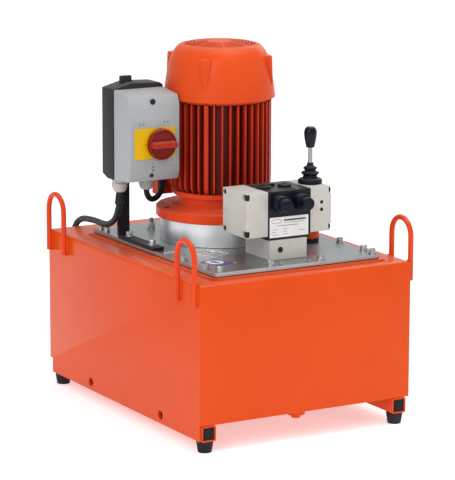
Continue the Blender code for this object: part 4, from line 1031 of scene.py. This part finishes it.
def switch_box():
    base_low, base_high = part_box("switch_box_base")
    low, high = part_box("switch_box_cover")
    front, back = low.y, high.y + 0.00015

    spots = ((-0.193, above(0.321), 0.0004, -0.0004), (-0.1957, above(0.1624), 0.003, 0.002))
    well = lathe(mm([(6.2, -1), (6.2, 0.6), (5, 1), (4.4, -0.8)]), 28)
    head = cross_head(0.0038, 0.0014)
    wells = [moved(well, (x, front + sink, z), FRONT) for x, z, sink, _ in spots]
    piece("cover_screw_wells", wells, "box_dark")
    piece("cover_screws", [moved(head, (x, front + sink, z), FRONT) for x, z, _, sink in spots],
          "black_screw")

    raised = rounded(low.x + 0.0055, high.x - 0.0055, above(0.181), above(0.279), 0.004)
    piece("cover_panel", [moved(prism(raised, 0, 0.0008, 0.0003), (0, front - 0.00005, 0), FRONT)],
          "box_light")

    large = lathe(mm([(1.5, 0), (1.5, 0.6), (1.1, 0.8)]), 16)
    small = lathe(mm([(1.3, 0), (1.3, 0.4), (1, 0.6)]), 14)
    dots = [moved(large, (-0.1935, front - 0.0001, above(0.1867 - 0.0075 * k)), FRONT) for k in range(3)]
    dots += [moved(small, (x, front - 0.0008, above(z)), FRONT)
             for x, z in ((-0.2255, 0.2726), (-0.2163, 0.2725), (-0.1661, 0.2754), (-0.1575, 0.2754))]
    piece("cover_dots", dots, "ink")

    seam = [tube([(x, back, low.z + 0.004), (x, back, high.z - 0.004)], 0.0009, 8) for x in (low.x, high.x)]
    seam.append(tube([(low.x + 0.003, back, high.z), (high.x - 0.003, back, high.z)], 0.0009, 8))
    piece("box_gasket", seam, "rubber")

    x, y, top = -0.2055, base_low.y + 0.028, base_high.z
    tab = prism(rounded(-0.0135, 0.0135, -0.0045, 0.005, 0.002, 4), 0, 0.016, 0.0006)
    piece("box_hanging_tab", [moved(tab, (x, y, top - 0.003))], "box_dark")
    piece("box_tab_screw", [moved(cross_head(0.0036, 0.0022), (x, y, top + 0.013))], "steel")

    # the box's fixing to its post, seen from behind
    post_low, post_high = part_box("switch_bracket")
    x, y = (post_low.x + post_high.x) / 2, post_high.y
    fixing = []
    for z in (above(0.19), above(0.3)):
        fixing += [moved(washer(0.0078, 0.0014), (x, y, z), BACK), moved(hex_head(0.01, 0.0042),
                                                                         (x, y + 0.0014, z), BACK)]
    piece("post_bolts", fixing, "zinc")

    pivot = middle_of("switch_knob")
    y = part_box("switch_plate")[0].y - 0.0002
    tick = prism(rounded(-0.0006, 0.0006, -0.0018, 0.0018, 0.0004, 2), 0, 0.0002)
    ticks = [moved(tick, (pivot.x - 0.0365, y, pivot.z), FRONT),
             moved(tick, (pivot.x, y, pivot.z + 0.034), FRONT, spin=math.pi / 2)]
    piece("switch_ticks", ticks, "ink")


def dial():
    """A round rotary handle with a raised rim and a rounded grip bar across it."""
    centre = middle_of("switch_knob")
    centre.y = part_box("switch_box_cover")[0].y
    profile = mm([(7.5, 3.2), (15.5, 3.2), (15.5, 6.2), (32.6, 6.2), (33.6, 7), (33.9, 8.8), (33.9, 13),
                  (33.3, 15.6), (31.7, 17.6), (29.9, 18.4), (28.4, 18), (27.2, 16.9), (19, 16.3),
                  (6, 16.3)])
    disc = lathe(profile, 72, wave=lambda a: 1 + 0.003 * math.cos(24 * a))
    body = piece("switch_dial_disc", [moved(disc, centre, FRONT)], "red", "switch_dial")
    rows = []
    for y, grow in ((0.0155, 0.0), (0.018, 0.0), (0.0262, -0.0005), (0.0318, -0.0012), (0.0339, -0.0028)):
        x, z = 0.0308 + grow, 0.0078 + grow
        rows.append([centre + Vector((p, -y, q)) for p, q in rounded(-x, x, -z, z, 0.0074 + grow, 8)])
    # the grip bar takes the lighter red: painted light on what is the dial's own red
    piece("switch_dial_grip", [loops(rows)], "red_painted_lit", "switch_dial")
    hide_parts("switch_knob")


def gland_nut(name, node, sideways=False):
    """A cable gland: hexagon body, domed clamp nut with grip ribs, rubber seal at its mouth."""
    low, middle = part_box(node)[0], middle_of(node)
    if sideways:
        root, axis = Vector((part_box("terminal_box")[0].x, middle.y, middle.z)), (-1, 0, 0)
        reach, full = root.x - low.x, 0.0138
    else:
        root, axis = Vector((middle.x, middle.y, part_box("switch_box_base")[0].z)), (0, 0, -1)
        reach, full = root.z - low.z, 0.0168

    def turned(shares, steps, wave=None):
        return moved(lathe([(full * r, reach * z) for r, z in shares], steps, wave=wave), root, axis)

    collar = moved(loops([polygon(6, full * flats, z, 24) for flats, z in
                          ((1.8, 0.0004), (1.8, reach * 0.24), (1.66, reach * 0.27))]), root, axis, 0.3)
    nut = turned([(0.93, 0.275), (0.985, 0.31), (0.985, 0.6)], 72, lambda a: 1 + 0.022 * math.cos(12 * a))
    dome = turned([(0.955, 0.59), (0.94, 0.68), (0.86, 0.82), (0.72, 0.93), (0.6, 0.985), (0.52, 0.99)],
                  48)
    seal = turned([(0.53, 0.94), (0.53, 0.995), (0.0073 / full, 1)], 32)
    body = piece(name, [collar, nut, dome], "gland", smooth=40)
    piece(name + "_seal", [seal], "rubber")
    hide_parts(node)


switch_box()
dial()
gland_nut("supply_gland_nut", "supply_gland")
gland_nut("motor_gland_nut", "motor_gland")
gland_nut("terminal_gland_nut", "terminal_gland", sideways=True)


# ---- valve --------------------------------------------------------------------------------------

def rating_label(low, high, front):
    """A plain label on the valve: a frame, a wordless band, grey lines and an oval."""
    x0, x1, bottom, top = low.x + 0.0035, high.x - 0.0055, above(0.0495), above(0.093)
    wide, tall = x1 - x0, top - bottom

    def flat(outline, depth, lift=0.0):
        return moved(prism(outline, 0, depth), (0, front - lift, 0), FRONT)

    border = rounded(x0 - 0.0016, x1 + 0.0016, bottom - 0.0016, top + 0.0016, 0.001, 3)
    piece("label_border", [flat(border, 0.0003)], "ink")
    piece("label_sheet", [flat(rounded(x0, x1, bottom, top, 0.0008, 3), 0.0002, 0.0003)], "white_label")
    lines = []
    for start, end, down, thick, corner in (
            (0.36, 0.94, 0.17, 0.003, 0.0009), (0.36, 0.9, 0.29, 0.0007, 0.00021),
            (0.2, 0.72, 0.43, 0.001, 0.0003), (0.06, 0.22, 0.6, 0.0006, 0.00018),
            (0.06, 0.18, 0.72, 0.0006, 0.00018), (0.06, 0.24, 0.86, 0.0006, 0.00018),
            (0.34, 0.46, 0.6, 0.0008, 0.0001), (0.34, 0.44, 0.72, 0.0008, 0.0001),
            (0.34, 0.48, 0.86, 0.0008, 0.0001), (0.74, 0.92, 0.72, 0.0008, 0.0001)):
        z = top - tall * down
        outline = rounded(x0 + wide * start, x0 + wide * end, z - thick / 2, z + thick / 2, corner, 2)
        lines.append(flat(outline, 0.0001, 0.0005))
    piece("label_lines", lines, "ink")
    oval = [Vector((x0 + wide * 0.18 + 0.0125 * x, front - 0.0005, top - tall * 0.2 + 0.0048 * y))
            for x, y, _ in circle(1, 0, 32)]
    piece("label_oval", [tube(oval + [oval[0]], 0.00035, 5)], "ink")


def valve_details():
    left_low, left_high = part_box("valve_cap_left")
    right_low, right_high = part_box("valve_cap_right")
    body_low, body_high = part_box("valve_body")
    front = left_low.y

    # screws in the corner pockets of both end caps
    heads = []
    for face, out, low, high in ((left_low.x, -1, left_low, left_high),
                                 (right_high.x, 1, right_low, right_high)):
        for y, r in ((low.y + 0.0064, 0.0061), (high.y - 0.0085, 0.005)):
            for z in (low.z + 0.0085, high.z - 0.0085):
                head = socket_head(r, 0.0058, 0.005, 0.0024)
                heads.append(moved(head, (face - out * 0.0071, y, z), (out, 0, 0)))
    piece("cap_screws", heads, "black_screw")

    hole = lathe(mm([(4, -0.4), (4, 0.2), (3.5, 0.5), (2.8, 0.1)]), 24)
    x = right_low.x + 0.0275
    piece("cap_ports", [moved(hole, (x, front, above(z)), FRONT) for z in (0.1165, 0.1005)], "ink")

    port = lathe(mm([(15.2, 0), (15.2, 4.5), (14, 5.6), (11.8, 5.8), (11.2, 5)]), 40)
    key = loops([circle(0.0112, 0.004, 24), circle(0.0112, 0.0062, 24), polygon(6, 0.01, 0.0062, 24),
                 polygon(6, 0.01, 0.0046, 24)])
    spots = [(x, -0.218, body_high.z) for x in (-0.031, 0.021)]
    piece("top_port_plugs", [moved(port, spot) for spot in spots], "black_plastic")
    piece("top_port_keys", [moved(key, spot) for spot in spots], "black_screw")
    bars = [moved(prism(rounded(-0.0085, 0.0085, -0.0028, 0.0028, 0.0012, 3), 0, 0.005, 0.0006),
                  (-0.002, -0.2, body_high.z)), moved(prism(rounded(-0.01, 0.01, -0.002, 0.002, 0.001, 3),
                                                            0, 0.0012, 0.0003),
                                                      (0.018, -0.249, body_high.z))]
    piece("top_bars", bars, "black_plastic")

    # thin seams between the sections
    seams = []
    outline = rounded(left_low.y + 0.0012, left_high.y - 0.0012, left_low.z + 0.001,
                      body_high.z - 0.0012, 0.001, 3)
    for x in (body_low.x - 0.00015, body_high.x + 0.00015):
        path = [Vector((x, y, z)) for y, z in outline]
        seams.append(tube(path + [path[0]], 0.0006, 6))
    piece("section_seams", seams, "rubber")
    rating_label(body_low, body_high, front)

    x, z = -0.015, above(0.0225)
    plug_rim = lathe(mm([(6.2, -0.5), (6.2, 1), (5.4, 1.6)]), 28)
    plug_key = socket_head(0.005, 0.002, 0.0052, 0.0016)
    plug = [moved(plug_rim, (x, front, z), FRONT), moved(plug_key, (x, front - 0.0004, z), FRONT)]
    piece("gauge_port_plug", plug, "black_screw")

    cap = lathe(mm([(13.1, 0.4), (17.8, 0.4), (17.9, 6), (17.9, 21), (17.2, 23.2)]), 64)
    nose = lathe(mm([(13.8, 22.8), (13.4, 25), (13.2, 38.5), (12.6, 40.2), (11.2, 41), (5, 41.1)]), 64,
                 wave=lambda a: 1 + 0.018 * math.cos(16 * a))
    for side in ("left", "right"):
        centre = middle_of(f"dust_cap_{side}")
        centre.y = front
        body = piece(f"port_cap_{side}_skin", [moved(shape, centre, FRONT) for shape in (cap, nose)],
                     "cap_rubber", f"port_cap_{side}")
        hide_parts(f"dust_cap_{side}")


def lever_details():
    """The bellows boot is a turned flange and bellows; the knob is a smooth egg with a disc in its crown."""
    low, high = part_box("lever_boot")
    pivot = next(joint["pos_m"] for joint in frame["joints"] if joint["name"] == "lever_tilt")
    centre = Vector((pivot[0], pivot[1], low.z))
    flange = mm([(25.8, 0), (26.2, 1), (26.2, 6.2), (25.4, 8.5), (23.2, 10.4), (20, 11.2), (18, 11.2)])
    bellows = [(0.0172, 0.0108), (0.016, 0.0135), (0.015, 0.0165), (0.0156, 0.0185), (0.018, 0.02),
               (0.0195, 0.022), (0.0196, 0.0232), (0.0182, 0.0246), (0.0142, 0.0262), (0.012, 0.0276),
               (0.0118, 0.0288), (0.0132, 0.0304), (0.0147, 0.0322), (0.0149, 0.0334), (0.0136, 0.035),
               (0.0108, 0.0366), (0.0086, 0.0378), (0.0078, 0.0386), (0.007, high.z - low.z)]
    foot = piece("lever_boot_flange", [moved(lathe(flange, 64), centre)], "boot", smooth=40)
    boot = piece("lever_boot_bellows", [moved(lathe(bellows, 64), centre)], "boot", None,
                 smooth=60)
    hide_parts("lever_boot")
    x, y = centre.x, centre.y
    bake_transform(boot)

    knob_low, knob_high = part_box("lever_knob")
    base = Vector((x, y, knob_low.z))
    tall = knob_high.z - knob_low.z
    stretch = tall / 0.0441
    profile = mm([(5.6, 0.2), (8.6, 0.6), (9.2, 2.2), (10, 6), (11.2, 11), (12.4, 17), (13.3, 23),
                  (13.8, 28), (13.7, 32), (12.9, 36.2), (11.2, 39.8), (8.8, 42.4), (6.2, 43.6),
                  (5.8, 43.4)])
    egg = lathe([(r, z * stretch) for r, z in profile], 72,
                wave=lambda a: 1 - 0.02 * abs(math.cos(3 * a)) ** 3)
    knob = piece("lever_knob_skin", [moved(egg, base)], "gloss_black", "lever", smooth=60)
    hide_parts("lever_knob")
    disc = lathe([(0.0058, tall - 0.0011), (0.0057, tall - 0.0004), (0.0048, tall)], 32)
    piece("lever_knob_disc", [moved(disc, base)], "gland", "lever")
    collar = lathe(mm([(5.3, 0), (7.2, 0.4), (7.2, 3.6), (6.6, 4.2), (5.3, 4.2)]), 32)
    piece("lever_rod_collar", [moved(collar, (x, y, high.z + 0.0004))], "boot", "lever")


def filler_details():
    centre = middle_of("filler_cap")
    centre.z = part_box("filler_cap")[0].z
    skirt = lathe(mm([(19.6, 0), (20.7, 0.6), (20.9, 2.2), (20.9, 24), (20.6, 25.6)]), 180,
                  wave=lambda a: 1 + 0.012 * math.cos(30 * a))
    crown = lathe(mm([(20.2, 25), (21, 26.2), (21, 34.5), (20.4, 37.8), (19, 40.4), (16.5, 42),
                      (13, 42.7), (6, 42.9)]), 72)
    cap = piece("filler_cap_skin", [moved(skirt, centre), moved(crown, centre)], "cover", "filler_lid")
    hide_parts("filler_cap")
    centre.z = above(0.01)
    screws = [moved(cross_head(0.0022, 0.0014), centre + around(20 + 120 * k)[0] * 0.0179) for k in range(3)]
    piece("filler_screws", screws, "zinc")


valve_details()
lever_details()
filler_details()
